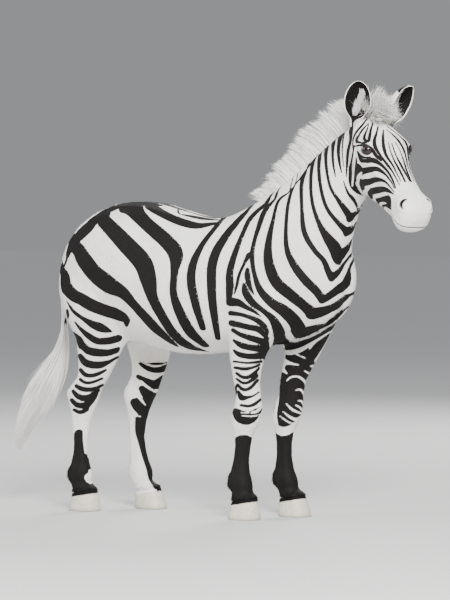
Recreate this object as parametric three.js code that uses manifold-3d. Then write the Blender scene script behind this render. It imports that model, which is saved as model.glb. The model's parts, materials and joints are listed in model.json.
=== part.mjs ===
// A plains zebra mare at life size, standing still, with her head turned a little to her right.
// Millimetres. +X points to the head, +Y to the animal's left, +Z up, and the hooves stand on Z = 0.
import * as THREE from "three";
import { mergeVertices } from "three/addons/utils/BufferGeometryUtils.js";
import Module from "manifold-3d";

const wasm = await Module();
wasm.setup();

// ---------------------------------------------------------------- driving dimensions
const ORIGIN = [142, -36]; // x and y of the origin, under the middle of the whole animal
const GAP = 0.3; // clearance between parts that touch
const TRUNK_SIDES = 26;
const TRUNK_STEPS = 2; // rings between two listed sections of the trunk
const LEG_SIDES = 14;
const HEAD_SIDES = 24;

// Sections of trunk and neck from the buttocks to the poll, each on the line from its lowest to its
// highest point: [x top, z top, x bottom, z bottom, half width, height of the widest place from -1
// to 1, roundness above, roundness below, y of the middle]
const TRUNK = [
  [-648, 1120, -668, 1010, 40, 0.0, 2.0, 2.0, 0],
  [-636, 1164, -670, 930, 112, 0.0, 2.0, 2.0, 0],
  [-606, 1208, -652, 850, 172, 0.05, 2.1, 2.1, 0],
  [-556, 1260, -600, 796, 214, 0.1, 2.1, 2.2, 0],
  [-480, 1304, -510, 764, 238, 0.1, 2.1, 2.3, 0],
  [-400, 1326, -410, 746, 250, 0.05, 2.1, 2.3, 0],
  [-310, 1333, -310, 727, 256, 0.0, 2.1, 2.3, 0],
  [-220, 1326, -215, 705, 264, -0.05, 2.1, 2.2, 0],
  [-120, 1301, -115, 690, 272, -0.1, 2.1, 2.2, 0],
  [-20, 1276, -10, 686, 273, -0.12, 2.05, 2.2, 0],
  [70, 1264, 90, 694, 262, -0.12, 1.95, 2.1, 0],
  [140, 1274, 180, 707, 246, -0.12, 1.85, 2.1, 0],
  [200, 1299, 278, 722, 230, -0.12, 1.75, 2.1, 0],
  [252, 1325, 388, 738, 217, -0.12, 1.7, 2.1, 0],
  [296, 1346, 505, 764, 210, -0.14, 1.7, 2.1, 0],
  [336, 1368, 608, 822, 205, -0.18, 1.7, 2.1, 0],
  [376, 1394, 676, 903, 194, -0.2, 1.7, 2.0, 0],
  [420, 1425, 698, 992, 173, -0.2, 1.75, 2.0, 0],
  [470, 1462, 690, 1078, 148, -0.18, 1.8, 2.0, 0],
  [530, 1506, 702, 1158, 124, -0.15, 1.85, 2.0, -3],
  [590, 1550, 724, 1232, 107, -0.12, 1.9, 2.0, -8],
  [650, 1594, 755, 1300, 96, -0.1, 2.0, 2.0, -16],
  [705, 1630, 790, 1358, 90, -0.05, 2.0, 2.0, -26],
  [758, 1657, 828, 1408, 84, 0.0, 2.0, 2.0, -36],
  [800, 1668, 862, 1445, 70, 0.0, 2.0, 2.0, -44],
];

// Half sizes of a foreleg's and a hind leg's level sections: [z, to the front, to the back, to each side]
const FORELEG = [
  [1120, 60, 60, 40],
  [1060, 110, 114, 70],
  [980, 142, 146, 84],
  [900, 150, 148, 90],
  [830, 138, 130, 88],
  [765, 110, 106, 82],
  [705, 86, 86, 68],
  [640, 67, 68, 56],
  [575, 56, 55, 48],
  [520, 54, 53, 46],
  [475, 60, 58, 50],
  [432, 63, 61, 53],
  [395, 54, 56, 46],
  [360, 38, 42, 35],
  [310, 31, 35, 29],
  [250, 30, 36, 29],
  [200, 37, 46, 33],
  [165, 45, 60, 41],
  [143, 46, 62, 42],
  [118, 38, 50, 39],
  [98, 50, 54, 46],
  [82, 60, 60, 54],
  [60, 66, 64, 58],
  [0, 78, 68, 63],
];
const HIND_LEG = [
  [1190, 70, 60, 40],
  [1120, 150, 110, 70],
  [1040, 190, 152, 92],
  [950, 196, 168, 104],
  [870, 182, 162, 102],
  [800, 154, 142, 92],
  [740, 126, 116, 80],
  [680, 104, 96, 68],
  [625, 84, 82, 57],
  [575, 70, 77, 49],
  [535, 68, 84, 48],
  [510, 70, 86, 49],
  [470, 64, 74, 48],
  [425, 48, 54, 39],
  [375, 37, 43, 32],
  [310, 31, 36, 29],
  [250, 32, 38, 30],
  [205, 38, 44, 34],
  [170, 46, 58, 41],
  [147, 47, 62, 42],
  [120, 39, 51, 39],
  [98, 49, 54, 46],
  [82, 58, 60, 53],
  [60, 64, 64, 57],
  [0, 77, 70, 62],
];

// Where the middle of each leg stands, from inside the body to the sole: [z, x, y], y counted outwards
const LEGS = {
  front_right: {
    side: -1,
    profile: FORELEG,
    line: [
      [1120, 400, 116], [1040, 398, 128], [940, 384, 136], [830, 345, 140], [705, 298, 133],
      [640, 287, 127], [575, 283, 122], [500, 290, 118], [432, 276, 116], [365, 266, 116],
      [310, 262, 116], [250, 255, 117], [200, 252, 118], [155, 254, 118], [120, 264, 119],
      [82, 272, 119], [50, 265, 119], [0, 264, 119],
    ],
  },
  front_left: {
    side: 1,
    profile: FORELEG,
    line: [
      [1120, 420, 116], [1040, 424, 128], [940, 426, 136], [830, 424, 140], [705, 408, 133],
      [640, 386, 127], [575, 362, 122], [500, 354, 118], [432, 334, 116], [365, 328, 116],
      [310, 326, 116], [250, 326, 117], [200, 328, 118], [155, 336, 118], [120, 346, 119],
      [82, 370, 119], [50, 371, 119], [0, 372, 119],
    ],
  },
  hind_right: {
    side: -1,
    profile: HIND_LEG,
    line: [
      [1190, -490, 130], [1040, -490, 138], [870, -460, 138], [740, -443, 130], [680, -460, 126],
      [625, -475, 122], [575, -491, 119], [520, -529, 117], [470, -543, 116], [425, -549, 116],
      [375, -556, 116], [310, -559, 117], [205, -558, 118], [155, -555, 119], [120, -550, 119],
      [95, -534, 120], [50, -537, 120], [0, -539, 120],
    ],
  },
  hind_left: {
    side: 1,
    profile: HIND_LEG,
    line: [
      [1190, -480, 130], [1040, -466, 138], [870, -412, 138], [740, -370, 130], [680, -363, 126],
      [625, -361, 122], [575, -367, 119], [520, -386, 117], [470, -407, 116], [425, -412, 116],
      [375, -416, 116], [310, -421, 117], [205, -406, 118], [155, -397, 119], [120, -393, 119],
      [95, -368, 120], [50, -356, 120], [0, -352, 120],
    ],
  },
};

// The head, in its own frame: +X from the poll to the muzzle, +Y left, +Z out of the forehead.
const POLL = [834, -50, 1642];
const HEAD_PITCH = 40; // degrees below the horizontal
const HEAD_TURN = -35; // degrees, to the right
const HEAD_SIZE = 1.04; // against the sizes listed here
// [x, z top, z bottom, half width, height of the widest place from -1 to 1, roundness above, below]
const HEAD = [
  [-52, 20, -50, 46, 0.0, 2.0, 2.0],
  [-30, 46, -98, 74, 0.2, 2.1, 2.0],
  [10, 63, -145, 87, 0.25, 2.3, 2.0],
  [60, 73, -179, 91, 0.3, 2.5, 2.1],
  [110, 80, -197, 93, 0.35, 2.7, 2.1],
  [160, 83, -198, 92, 0.35, 2.8, 2.1],
  [205, 80, -190, 87, 0.3, 2.8, 2.1],
  [250, 74, -173, 79, 0.2, 2.6, 2.2],
  [295, 68, -152, 75, 0.1, 2.4, 2.2],
  [345, 63, -133, 70, 0.0, 2.3, 2.2],
  [395, 59, -117, 67, -0.05, 2.3, 2.2],
  [440, 58, -104, 67, -0.05, 2.3, 2.2],
  [480, 60, -100, 69, -0.05, 2.4, 2.2],
  [515, 57, -94, 69, -0.05, 2.4, 2.2],
  [543, 45, -80, 62, -0.1, 2.3, 2.2],
  [561, 23, -59, 47, -0.15, 2.2, 2.1],
  [569, 0, -41, 25, -0.15, 2.0, 2.0],
];
// Swellings and hollows of the head: [x, y to each side, z, reach along x, reach across, height]
const RELIEF = [
  [172, 92, 60, 44, 26, 17], // brow, over the eye
  [192, 92, -6, 42, 26, 8], // lower rim of the eye socket
  [262, 74, -4, 62, 18, 7], // cheek bone's ridge
  [112, 84, -88, 86, 68, 9], // jowl
  [88, 74, 52, 34, 26, -5], // hollow above the eye
  [330, 62, -54, 60, 32, -6], // hollow in front of the cheek
  [502, 50, 26, 36, 28, 13], // wing of the nostril
  [500, 20, -106, 34, 34, 9], // chin
  [448, 40, -74, 26, 30, -5], // behind the chin
  [548, 30, 0, 28, 30, 6], // upper lip
];
const EYE = { at: [174, 77, 29], radius: 29, lid: 4, opening: [33, 19], sides: 12 };
const NOSTRIL = { at: [504, 66, 26], size: [21, 11, 9], slant: 52 };
const MOUTH = { from: [474, -46], to: [580, -28], sag: 9, height: 3, depth: 6 };
const EAR = { length: 166, radius: 53, wall: 6, at: [2, 73, 40] };
// Where each ear points and where its cup opens, in the head's frame
const EARS = {
  ear_right: { side: -1, tip: [-0.3, -0.1, 0.94], open: [0.75, -0.62, 0.2] },
  ear_left: { side: 1, tip: [-0.18, 0.4, 0.9], open: [0.86, 0.34, 0.2] },
};

// Mane: rows of flat locks standing along the crest, from the withers to the poll
const MANE = {
  from: 13.6, // place along TRUNK
  to: 23.7,
  locks: 21,
  rows: [-1, 1],
  length: 130,
  ends: 58,
  width: 43,
  thick: 10,
  core: 48,
};
const FORELOCK = { locks: 13, length: 128, width: 28, thick: 9 };

// Tail: the line of its middle, [x, y, z], the radius of the dock along it, and the tuft of long locks
const TAIL_LINE = [
  [-640, 0, 1178], [-690, 0, 1130], [-718, 0, 1040], [-722, -4, 940], [-716, -8, 840], [-722, -12, 740],
  [-748, -18, 640], [-792, -24, 545], [-846, -30, 455], [-902, -34, 362], [-936, -36, 280], [-944, -36, 236],
];
const DOCK = { end: 0.5, thick: 34, thin: 13 };
const TUFT = { locks: 11, from: 0.36, width: 54, thick: 13, spread: 80, core: [26, 18] };

// ---------------------------------------------------------------- shaping helpers
const DEG = Math.PI / 180;
const vec = (p) => new THREE.Vector3(...p);

// A repeatable random draw from 0 to 1
let seed = 7;
function draw() {
  seed = (seed * 16807) % 2147483647;
  return seed / 2147483647;
}
const about = (value, share) => value * (1 + share * (2 * draw() - 1));

// The rows of a table, with smooth rows between them: place 2.5 is half way from row 2 to row 3
function rowAt(rows, place) {
  const last = rows.length - 1;
  const i = Math.min(Math.floor(place), last - 1);
  const t = place - i;
  const [a, b, c, d] = [Math.max(i - 1, 0), i, i + 1, Math.min(i + 2, last)].map((k) => rows[k]);
  return b.map((_, k) => {
    const linear = c[k] - a[k];
    const square = 2 * a[k] - 5 * b[k] + 4 * c[k] - d[k];
    const cube = 3 * (b[k] - c[k]) + d[k] - a[k];
    return b[k] + 0.5 * t * (linear + t * (square + t * cube));
  });
}

function smoothRows(rows, steps) {
  const out = [];
  for (let i = 0; i < rows.length - 1; i++)
    for (let k = 0; k < steps; k++) out.push(rowAt(rows, i + k / steps));
  out.push(rows.at(-1));
  return out;
}

// The same tables read by height: rows start with a falling z
function rowAtHeight(rows, z) {
  const i = Math.max(0, Math.min(rows.length - 2, rows.findIndex((r) => r[0] <= z) - 1));
  return rowAt(rows, i + (rows[i][0] - z) / (rows[i][0] - rows[i + 1][0]));
}

const rounded = (value, roundness) => Math.sign(value) * Math.abs(value) ** (2 / roundness);

// A section's outline in (sideways, upwards): an egg of two superellipses that meet at its widest place
function egg(sides, half, widest, above, below) {
  return Array.from({ length: sides }, (_, k) => {
    const a = (2 * Math.PI * k) / sides;
    const [s, c] = [Math.sin(a), Math.cos(a)];
    const roundness = s > 0 ? above : below;
    const reach = s > 0 ? 1 - widest : 1 + widest;
    return [half * rounded(c, roundness), widest + reach * rounded(s, roundness)];
  });
}

// A closed skin over rings of equal length, which turn left round the way they go
function loft(rings) {
  const n = rings[0].length;
  const points = rings.flat();
  const index = [];
  for (let i = 0; i < rings.length - 1; i++)
    for (let k = 0; k < n; k++) {
      const [a, b] = [i * n + k, i * n + ((k + 1) % n)];
      index.push(a, b, b + n, a, b + n, a + n);
    }
  for (const [ring, outward] of [[0, false], [rings.length - 1, true]]) {
    const middle = points.length;
    points.push(rings[ring].reduce((sum, p) => sum.add(p), new THREE.Vector3()).divideScalar(n));
    for (let k = 0; k < n; k++) {
      const [a, b] = [ring * n + k, ring * n + ((k + 1) % n)];
      index.push(...(outward ? [a, b, middle] : [b, a, middle]));
    }
  }
  return new THREE.BufferGeometry().setFromPoints(points).setIndex(index);
}

// ---------------------------------------------------------------- solids
function solid(geometry, matrix) {
  const g = geometry.clone();
  g.deleteAttribute("normal");
  g.deleteAttribute("uv");
  if (matrix) g.applyMatrix4(matrix);
  const merged = mergeVertices(g, 1e-4);
  const vertProperties = new Float32Array(merged.attributes.position.array);
  const triVerts = new Uint32Array(merged.index.array);
  const made = new wasm.Manifold(new wasm.Mesh({ numProp: 3, vertProperties, triVerts }));
  if (made.volume() > 0) return made;
  // its faces look inwards: turn them all round
  return new wasm.Manifold(new wasm.Mesh({ numProp: 3, vertProperties, triVerts: triVerts.reverse() }));
}

function geometryOf(made) {
  const mesh = made.getMesh();
  const positions = new Float32Array(mesh.numVert * 3);
  for (let i = 0; i < mesh.numVert; i++)
    positions.set(mesh.vertProperties.subarray(i * mesh.numProp, i * mesh.numProp + 3), i * 3);
  return new THREE.BufferGeometry()
    .setAttribute("position", new THREE.BufferAttribute(positions, 3))
    .setIndex(new THREE.BufferAttribute(mesh.triVerts, 1));
}

// The solid with every face moved out by about GAP, to cut a neighbour clear of it
function grown(made) {
  const g = mergeVertices(geometryOf(made), 1e-4);
  g.computeVertexNormals();
  const { position, normal } = g.attributes;
  const corner = (i) => new THREE.Vector3().fromBufferAttribute(position, i);
  const outward = (i) => new THREE.Vector3().fromBufferAttribute(normal, i);
  const reach = new Array(position.count).fill(1); // the smallest share of a vertex's move that lifts a face
  const face = new THREE.Triangle();
  const flat = new THREE.Vector3();
  for (let i = 0; i < g.index.count; i += 3) {
    const [a, b, c] = [0, 1, 2].map((k) => g.index.getX(i + k));
    face.set(corner(a), corner(b), corner(c)).getNormal(flat);
    for (const k of [a, b, c]) reach[k] = Math.min(reach[k], Math.max(0.3, flat.dot(outward(k))));
  }
  for (let i = 0; i < position.count; i++)
    position.setXYZ(i, ...corner(i).addScaledVector(outward(i), GAP / reach[i]).toArray());
  return solid(g).add(made);
}

const union = (list) => list.reduce((a, b) => a.add(b));
const largest = (made) => made.decompose().reduce((a, b) => (b.volume() > a.volume() ? b : a));

function ball(at, radii, matrix, sides = 12) {
  const place = matrix.clone().multiply(new THREE.Matrix4().makeTranslation(...at)).scale(vec(radii));
  return solid(new THREE.SphereGeometry(1, sides, Math.round(sides / 2)), place);
}

// ---------------------------------------------------------------- trunk and legs
function trunkRing([xTop, zTop, xBottom, zBottom, half, widest, above, below, y]) {
  return egg(TRUNK_SIDES, half, widest, above, below).map(([side, up]) => {
    const t = (up + 1) / 2;
    return new THREE.Vector3(xBottom + (xTop - xBottom) * t, y + side, zBottom + (zTop - zBottom) * t);
  });
}

function makeLeg({ side, profile, line }) {
  const rings = profile.map(([z, front, back, half]) => {
    const [, x, y] = rowAtHeight(line, z);
    return Array.from({ length: LEG_SIDES }, (_, k) => {
      const a = (2 * Math.PI * k) / LEG_SIDES;
      const [c, s] = [rounded(Math.cos(a), 2.15), rounded(Math.sin(a), 2.15)];
      return new THREE.Vector3(x + (c > 0 ? front : back) * c, side * y + half * s, z);
    });
  });
  return solid(loft(rings));
}

// A thin flat cut through the point `at`, facing `normal`, `size` wide and high
function slab(at, normal, size) {
  const turn = new THREE.Quaternion().setFromUnitVectors(new THREE.Vector3(0, 0, 1), vec(normal).normalize());
  const matrix = new THREE.Matrix4().compose(vec(at), turn, new THREE.Vector3(1, 1, 1));
  return solid(new THREE.BoxGeometry(size[0], size[1], GAP), matrix);
}

// The piece of a cut body whose box has its middle nearest to a point
function pieceNear(pieces, point) {
  const off = (p) => {
    const b = p.boundingBox();
    return Math.hypot(...[0, 1, 2].map((k) => (b.min[k] + b.max[k]) / 2 - point[k]));
  };
  return pieces.reduce((a, b) => (off(b) < off(a) ? b : a));
}

// ---------------------------------------------------------------- head
const headMatrix = new THREE.Matrix4().compose(
  vec(POLL),
  new THREE.Quaternion().setFromEuler(new THREE.Euler(0, HEAD_PITCH * DEG, HEAD_TURN * DEG, "ZYX")),
  new THREE.Vector3().setScalar(HEAD_SIZE),
);
const inHead = (p) => vec(p).applyMatrix4(headMatrix);

// How far the relief lifts the head's skin at a point
function relief(p) {
  return RELIEF.reduce((sum, [x, y, z, long, wide, height]) => {
    const far = ((p.x - x) / long) ** 2 + ((Math.abs(p.y) - y) ** 2 + (p.z - z) ** 2) / wide ** 2;
    return sum + height * Math.exp(-far);
  }, 0);
}

function headLoft(less = 0) {
  const rings = smoothRows(HEAD, 2).map(([x, top, bottom, half, widest, above, below]) =>
    egg(HEAD_SIDES, half, widest, above, below).map(([side, up]) => {
      const z = bottom + ((top - bottom) * (up + 1)) / 2;
      const p = new THREE.Vector3(x, side, z);
      const out = new THREE.Vector3(0, side, z - (top + bottom) / 2).normalize();
      return p.addScaledVector(out, relief(p) - less);
    }),
  );
  return solid(loft(rings), headMatrix);
}

// A closed almond, as the gap between the lids is, drawn in (x, z) and pushed through along y
function almond([halfLong, halfHigh], deep) {
  const shape = new THREE.Shape();
  shape.moveTo(-halfLong, -halfHigh * 0.25);
  shape.quadraticCurveTo(-halfLong * 0.15, halfHigh * 1.75, halfLong, halfHigh * 0.1);
  shape.quadraticCurveTo(halfLong * 0.1, -halfHigh * 1.7, -halfLong, -halfHigh * 0.25);
  return new THREE.ExtrudeGeometry(shape, { depth: deep, bevelEnabled: false, curveSegments: 7 });
}

function eyeMatrix(side) {
  // the eye looks out to the side, a little forward and towards the forehead
  const out = new THREE.Vector3(0.38, side * 0.87, 0.26).normalize();
  const along = new THREE.Vector3(0.87, side * -0.42, 0.3);
  along.addScaledVector(out, -along.dot(out)).normalize();
  const basis = new THREE.Matrix4().makeBasis(along, out.clone().cross(along), out);
  basis.setPosition(EYE.at[0], side * EYE.at[1], EYE.at[2]);
  return headMatrix.clone().multiply(basis);
}

function makeHead() {
  const [mouthX, mouthZ] = MOUTH.from;
  const [frontX, frontZ] = MOUTH.to;
  let head = headLoft();
  for (const side of [-1, 1]) {
    const eye = eyeMatrix(side);
    head = head.add(ball([0, 0, 0], Array(3).fill(EYE.radius + EYE.lid), eye, EYE.sides));
    head = head.subtract(ball([0, 0, 0], Array(3).fill(EYE.radius + GAP), eye, EYE.sides));
    head = head.subtract(solid(almond(EYE.opening, 60), eye));
    const [x, y, z] = NOSTRIL.at;
    const nostril = headMatrix
      .clone()
      .multiply(new THREE.Matrix4().makeTranslation(x, side * y, z))
      .multiply(new THREE.Matrix4().makeRotationY(NOSTRIL.slant * DEG));
    head = head.subtract(ball([0, 0, 0], NOSTRIL.size, nostril));
  }

  // the mouth: a thin bent sheet that only bites the lips, as it is cut clear of a thinner head first
  const line = new THREE.QuadraticBezierCurve(
    new THREE.Vector2(mouthX, mouthZ),
    new THREE.Vector2((mouthX + frontX) / 2, (mouthZ + frontZ) / 2 - 2 * MOUTH.sag),
    new THREE.Vector2(frontX, frontZ),
  );
  const edge = line.getPoints(8);
  const sheet = new THREE.Shape([
    ...edge.map((p) => new THREE.Vector2(p.x, p.y + MOUTH.height / 2)),
    ...edge.reverse().map((p) => new THREE.Vector2(p.x, p.y - MOUTH.height / 2)),
  ]);
  const width = 160;
  const upright = new THREE.Matrix4().makeRotationX(90 * DEG).setPosition(0, width / 2, 0);
  const bite = solid(
    new THREE.ExtrudeGeometry(sheet, { depth: width, bevelEnabled: false }),
    headMatrix.clone().multiply(upright),
  );
  return largest(head.subtract(bite.subtract(headLoft(MOUTH.depth))));
}

function makeEye(side) {
  return ball([0, 0, 0], Array(3).fill(EYE.radius), eyeMatrix(side), EYE.sides);
}

// An ear is a leaf rolled into a cup: each ring runs along its outer arc and back along its inner one
function makeEar({ side, tip, open }) {
  const axis = vec(tip).normalize();
  const normal = vec(open).sub(axis.clone().multiplyScalar(vec(open).dot(axis))).normalize();
  const across = axis.clone().cross(normal);
  const root = vec([EAR.at[0], side * EAR.at[1], EAR.at[2]]);
  const arc = 9;
  // [share of the length, radius share, half angle of the roll, forward set of the middle]
  const rows = [
    [-0.1, 0.5, 150, 0],
    [0.06, 0.56, 146, 0],
    [0.2, 0.8, 122, 2],
    [0.36, 0.99, 98, 6],
    [0.52, 1.04, 88, 9],
    [0.68, 0.97, 81, 10],
    [0.82, 0.82, 74, 9],
    [0.92, 0.58, 68, 7],
    [1.0, 0.2, 62, 4],
  ];
  const rings = rows.map(([t, share, half, forward]) => {
    const middle = root.clone().addScaledVector(axis, t * EAR.length).addScaledVector(normal, forward);
    const at = (angle, radius) =>
      middle
        .clone()
        .addScaledVector(across, radius * Math.sin(angle))
        .addScaledVector(normal, -radius * Math.cos(angle));
    const angles = Array.from({ length: arc }, (_, k) => half * DEG * ((2 * k) / (arc - 1) - 1));
    const outer = EAR.radius * share;
    const wall = Math.min(EAR.wall, outer * 0.5);
    return [...angles.map((a) => at(a, outer)), ...angles.reverse().map((a) => at(a * 0.96, outer - wall))];
  });
  return solid(crescentLoft(rings, arc), headMatrix);
}

// A skin over crescents, whose ends are closed strip by strip between the outer arc and the inner one
function crescentLoft(rings, arc) {
  const n = rings[0].length;
  const index = [];
  for (let i = 0; i < rings.length - 1; i++)
    for (let k = 0; k < n; k++) {
      const [a, b] = [i * n + k, i * n + ((k + 1) % n)];
      index.push(a, b, b + n, a, b + n, a + n);
    }
  for (const [start, outward] of [[0, false], [(rings.length - 1) * n, true]])
    for (let k = 0; k < arc - 1; k++) {
      const [a, b, c, d] = [start + k, start + k + 1, start + n - 2 - k, start + n - 1 - k];
      index.push(...(outward ? [a, b, c, a, c, d] : [b, a, c, c, a, d]));
    }
  return new THREE.BufferGeometry().setFromPoints(rings.flat()).setIndex(index);
}

// ---------------------------------------------------------------- hair
// A flat lock that tapers to its tip: `line` is its middle, `flat` the way its width lies
function lock(line, flat, width, thick) {
  const steps = line.length - 1;
  const rings = line.map((p, i) => {
    const along = line[Math.min(i + 1, steps)].clone().sub(line[Math.max(i - 1, 0)]).normalize();
    const wide = flat.clone().addScaledVector(along, -flat.dot(along)).normalize();
    const deep = along.clone().cross(wide);
    const t = i / steps;
    const w = (width / 2) * (t < 0.35 ? 0.8 + 0.6 * t : 1.01 * (1 - ((t - 0.35) / 0.65) ** 1.6) + 0.04);
    const d = (thick / 2) * (1.06 - t ** 1.5);
    const edges = [[wide, w], [deep, d], [wide, -w], [deep, -d]];
    return edges.map(([way, far]) => p.clone().addScaledVector(way, far));
  });
  return solid(loft(rings));
}

// The crest's line, from the table of the trunk: where it is at a place, and which ways it runs and rises
function crestAt(place) {
  const point = (p) => {
    const [x, z, , , , , , , y] = rowAt(TRUNK, p);
    return new THREE.Vector3(x, y, z);
  };
  const at = point(place);
  const along = point(Math.min(place + 0.05, TRUNK.length - 1)).sub(point(place - 0.05)).normalize();
  const up = new THREE.Vector3(0, 1, 0).cross(along).multiplyScalar(-1).normalize();
  return { at, along, up };
}

function makeMane() {
  const pieces = [];
  const coreRings = [];
  const coreSteps = 16;
  for (let i = 0; i <= coreSteps; i++) {
    const t = i / coreSteps;
    const { at, up } = crestAt(MANE.from + (MANE.to - MANE.from) * t);
    const swell = Math.min(1, 0.3 + t * 1.6, 0.4 + (1 - t) * 12);
    const across = new THREE.Vector3(0, 1, 0);
    const [low, high, thick] = [-16, MANE.core * swell, 15 * swell + 2];
    const section = [[-1, low], [1, low], [0.75, high * 0.6], [0, high], [-0.75, high * 0.6]];
    coreRings.push(
      section.map(([s, h]) => at.clone().addScaledVector(across, s * thick).addScaledVector(up, h)),
    );
  }
  pieces.push(solid(loft(coreRings)));
  for (const row of MANE.rows)
    for (let i = 0; i < MANE.locks; i++) {
      const t = (i + 0.5 + row * 0.33 + 0.3 * (draw() - 0.5)) / MANE.locks;
      if (t < 0.01 || t > 0.995) continue;
      const { at, along, up } = crestAt(MANE.from + (MANE.to - MANE.from) * t);
      const rise = Math.min(1, t / 0.62, (1 - t) / 0.06 + 0.7);
      const length = about(MANE.ends + (MANE.length - MANE.ends) * rise, 0.1);
      const out = new THREE.Vector3(0, row, 0);
      const back = -0.22 - 0.18 * draw();
      const line = [0, 0.4, 0.75, 1].map((s) =>
        at
          .clone()
          .addScaledVector(up, -14 + (length + 14) * s)
          .addScaledVector(along, back * length * s * s)
          .addScaledVector(out, 8 + about(7, 0.8) * s),
      );
      const flat = along.clone().addScaledVector(out, 0.3); // turned a little: each lies over the next
      pieces.push(lock(line, flat, about(MANE.width, 0.15), MANE.thick));
    }
  return union(pieces);
}

function makeForelock() {
  const pieces = [ball([-14, 0, 52], [44, 34, 40], headMatrix)];
  for (let i = 0; i < FORELOCK.locks; i++) {
    const turn = (i / (FORELOCK.locks - 1)) * 2 - 1;
    const row = i % 3;
    const root = [-40 + row * 32, 4 + turn * 40, 46];
    const lift = [-0.2 + row * 0.24, 0.08 + turn * 0.36, 0.95];
    const length = about(FORELOCK.length * (1 - 0.1 * row), 0.1);
    const line = [0, 0.4, 0.75, 1].map((s) =>
      inHead([
        root[0] + lift[0] * length * s + 26 * s * s,
        root[1] + lift[1] * length * s,
        root[2] + lift[2] * length * s - 8 * s * s,
      ]),
    );
    const flat = new THREE.Vector3(0.5, 1, 0).transformDirection(headMatrix);
    pieces.push(lock(line, flat, about(FORELOCK.width, 0.15), FORELOCK.thick));
  }
  return union(pieces);
}

const tailCurve = new THREE.CatmullRomCurve3(TAIL_LINE.map(vec), false, "centripetal");

function tube(curve, from, to, steps, sides, radiusAt) {
  const rings = [];
  for (let i = 0; i <= steps; i++) {
    const t = from + ((to - from) * i) / steps;
    const along = curve.getTangentAt(t);
    const wide = new THREE.Vector3(0, 1, 0).addScaledVector(along, -along.y).normalize();
    const deep = along.clone().cross(wide);
    const [w, d] = radiusAt(i / steps);
    rings.push(
      Array.from({ length: sides }, (_, k) => {
        const a = (2 * Math.PI * k) / sides;
        const middle = curve.getPointAt(t);
        return middle.addScaledVector(wide, w * Math.cos(a)).addScaledVector(deep, d * Math.sin(a));
      }),
    );
  }
  return solid(loft(rings));
}

function makeDock() {
  return tube(tailCurve, 0, DOCK.end, 10, 10, (t) => {
    const r = DOCK.thick + (DOCK.thin - DOCK.thick) * t ** 0.6;
    return [r, r * 0.85];
  });
}

function makeTuft() {
  const core = tube(tailCurve, TUFT.from + 0.03, 0.8, 7, 6, (t) =>
    TUFT.core.map((half) => 6 + half * Math.sin(Math.PI * t) ** 0.8),
  );
  const pieces = [core];
  for (let i = 0; i < TUFT.locks; i++) {
    const share = i / (TUFT.locks - 1);
    const round = i * 2.4; // radians, so that the locks wind round the dock
    const start = TUFT.from + 0.05 + 0.2 * share * draw() + 0.06 * draw();
    const end = Math.min(0.985, start + 0.36 + 0.3 * share);
    const spread = about(TUFT.spread, 0.25);
    const line = Array.from({ length: 5 }, (_, k) => {
      const s = k / 4;
      const t = start + (end - start) * s;
      const wide = new THREE.Vector3(0, 1, 0);
      const deep = tailCurve.getTangentAt(t).cross(wide).normalize();
      const away = 5 + spread * Math.sin(Math.PI * s ** 0.8) ** 1.2 * 0.55 + 10 * s;
      return tailCurve
        .getPointAt(t)
        .addScaledVector(wide, away * 0.62 * Math.cos(round))
        .addScaledVector(deep, away * Math.sin(round));
    });
    const sideways = new THREE.Vector3(0, 1, 0);
    const outwards = tailCurve.getTangentAt(start).cross(sideways);
    const flat = sideways.multiplyScalar(Math.sin(round)).addScaledVector(outwards, -Math.cos(round));
    pieces.push(lock(line, flat, about(TUFT.width, 0.2), TUFT.thick));
  }
  return union(pieces);
}

// ---------------------------------------------------------------- the whole animal, parted by thin cuts
const trunk = solid(loft(smoothRows(TRUNK, TRUNK_STEPS).map(trunkRing)));
const head = makeHead();
const legs = Object.values(LEGS).map(makeLeg);
const cuts = [
  slab([-262, 0, 1000], [1, 0, 0], [900, 900]), // flank
  slab([175, 0, 1000], [1, 0, 0], [900, 900]), // girth
  slab([500, 0, 1185], [0.63, 0, 0.78], [640, 640]), // base of the neck
];
for (const [name, { side, line }] of Object.entries(LEGS)) {
  const fore = name.startsWith("front");
  const levels = fore ? [700, 372] : [728, 440];
  for (const z of levels) {
    const [, x, y] = rowAtHeight(line, z);
    cuts.push(slab([x, side * y, z], [0, 0, 1], [fore ? 230 : 330, 2 * y - 4]));
  }
  const [, x, y] = rowAtHeight(line, 80);
  cuts.push(slab([x, side * y, 84], [-0.09, 0, 1], [200, 180])); // coronet
}
const pieces = union([trunk, ...legs]).subtract(union(cuts)).decompose();

// The largest piece of a solid once others have cut it
const cutBy = (made, others) => largest(others.reduce((left, other) => left.subtract(other), made));
const clearOfHead = grown(head);
const neck = cutBy(pieceNear(pieces, [640, -15, 1330]), [clearOfHead]);
const clearOfNeck = grown(neck);
const shoulders = pieceNear(pieces, [430, 0, 1030]);

const parts = {
  hindquarters: pieceNear(pieces, [-480, 0, 1000]),
  barrel: pieceNear(pieces, [-40, 0, 980]),
  shoulders,
  neck,
  head,
};
for (const [name, { side, line }] of Object.entries(LEGS)) {
  const at = (z) => {
    const [, x, y] = rowAtHeight(line, z);
    return [x, side * y, z];
  };
  const fore = name.startsWith("front");
  parts[`leg_${name}_upper`] = pieceNear(pieces, at(fore ? 536 : 584));
  parts[`leg_${name}_lower`] = pieceNear(pieces, at(fore ? 228 : 262));
  parts[`hoof_${name}`] = pieceNear(pieces, at(40));
}
for (const [name, ear] of Object.entries(EARS)) parts[name] = cutBy(makeEar(ear), [clearOfHead]);
parts.eye_right = makeEye(-1);
parts.eye_left = makeEye(1);

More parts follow.
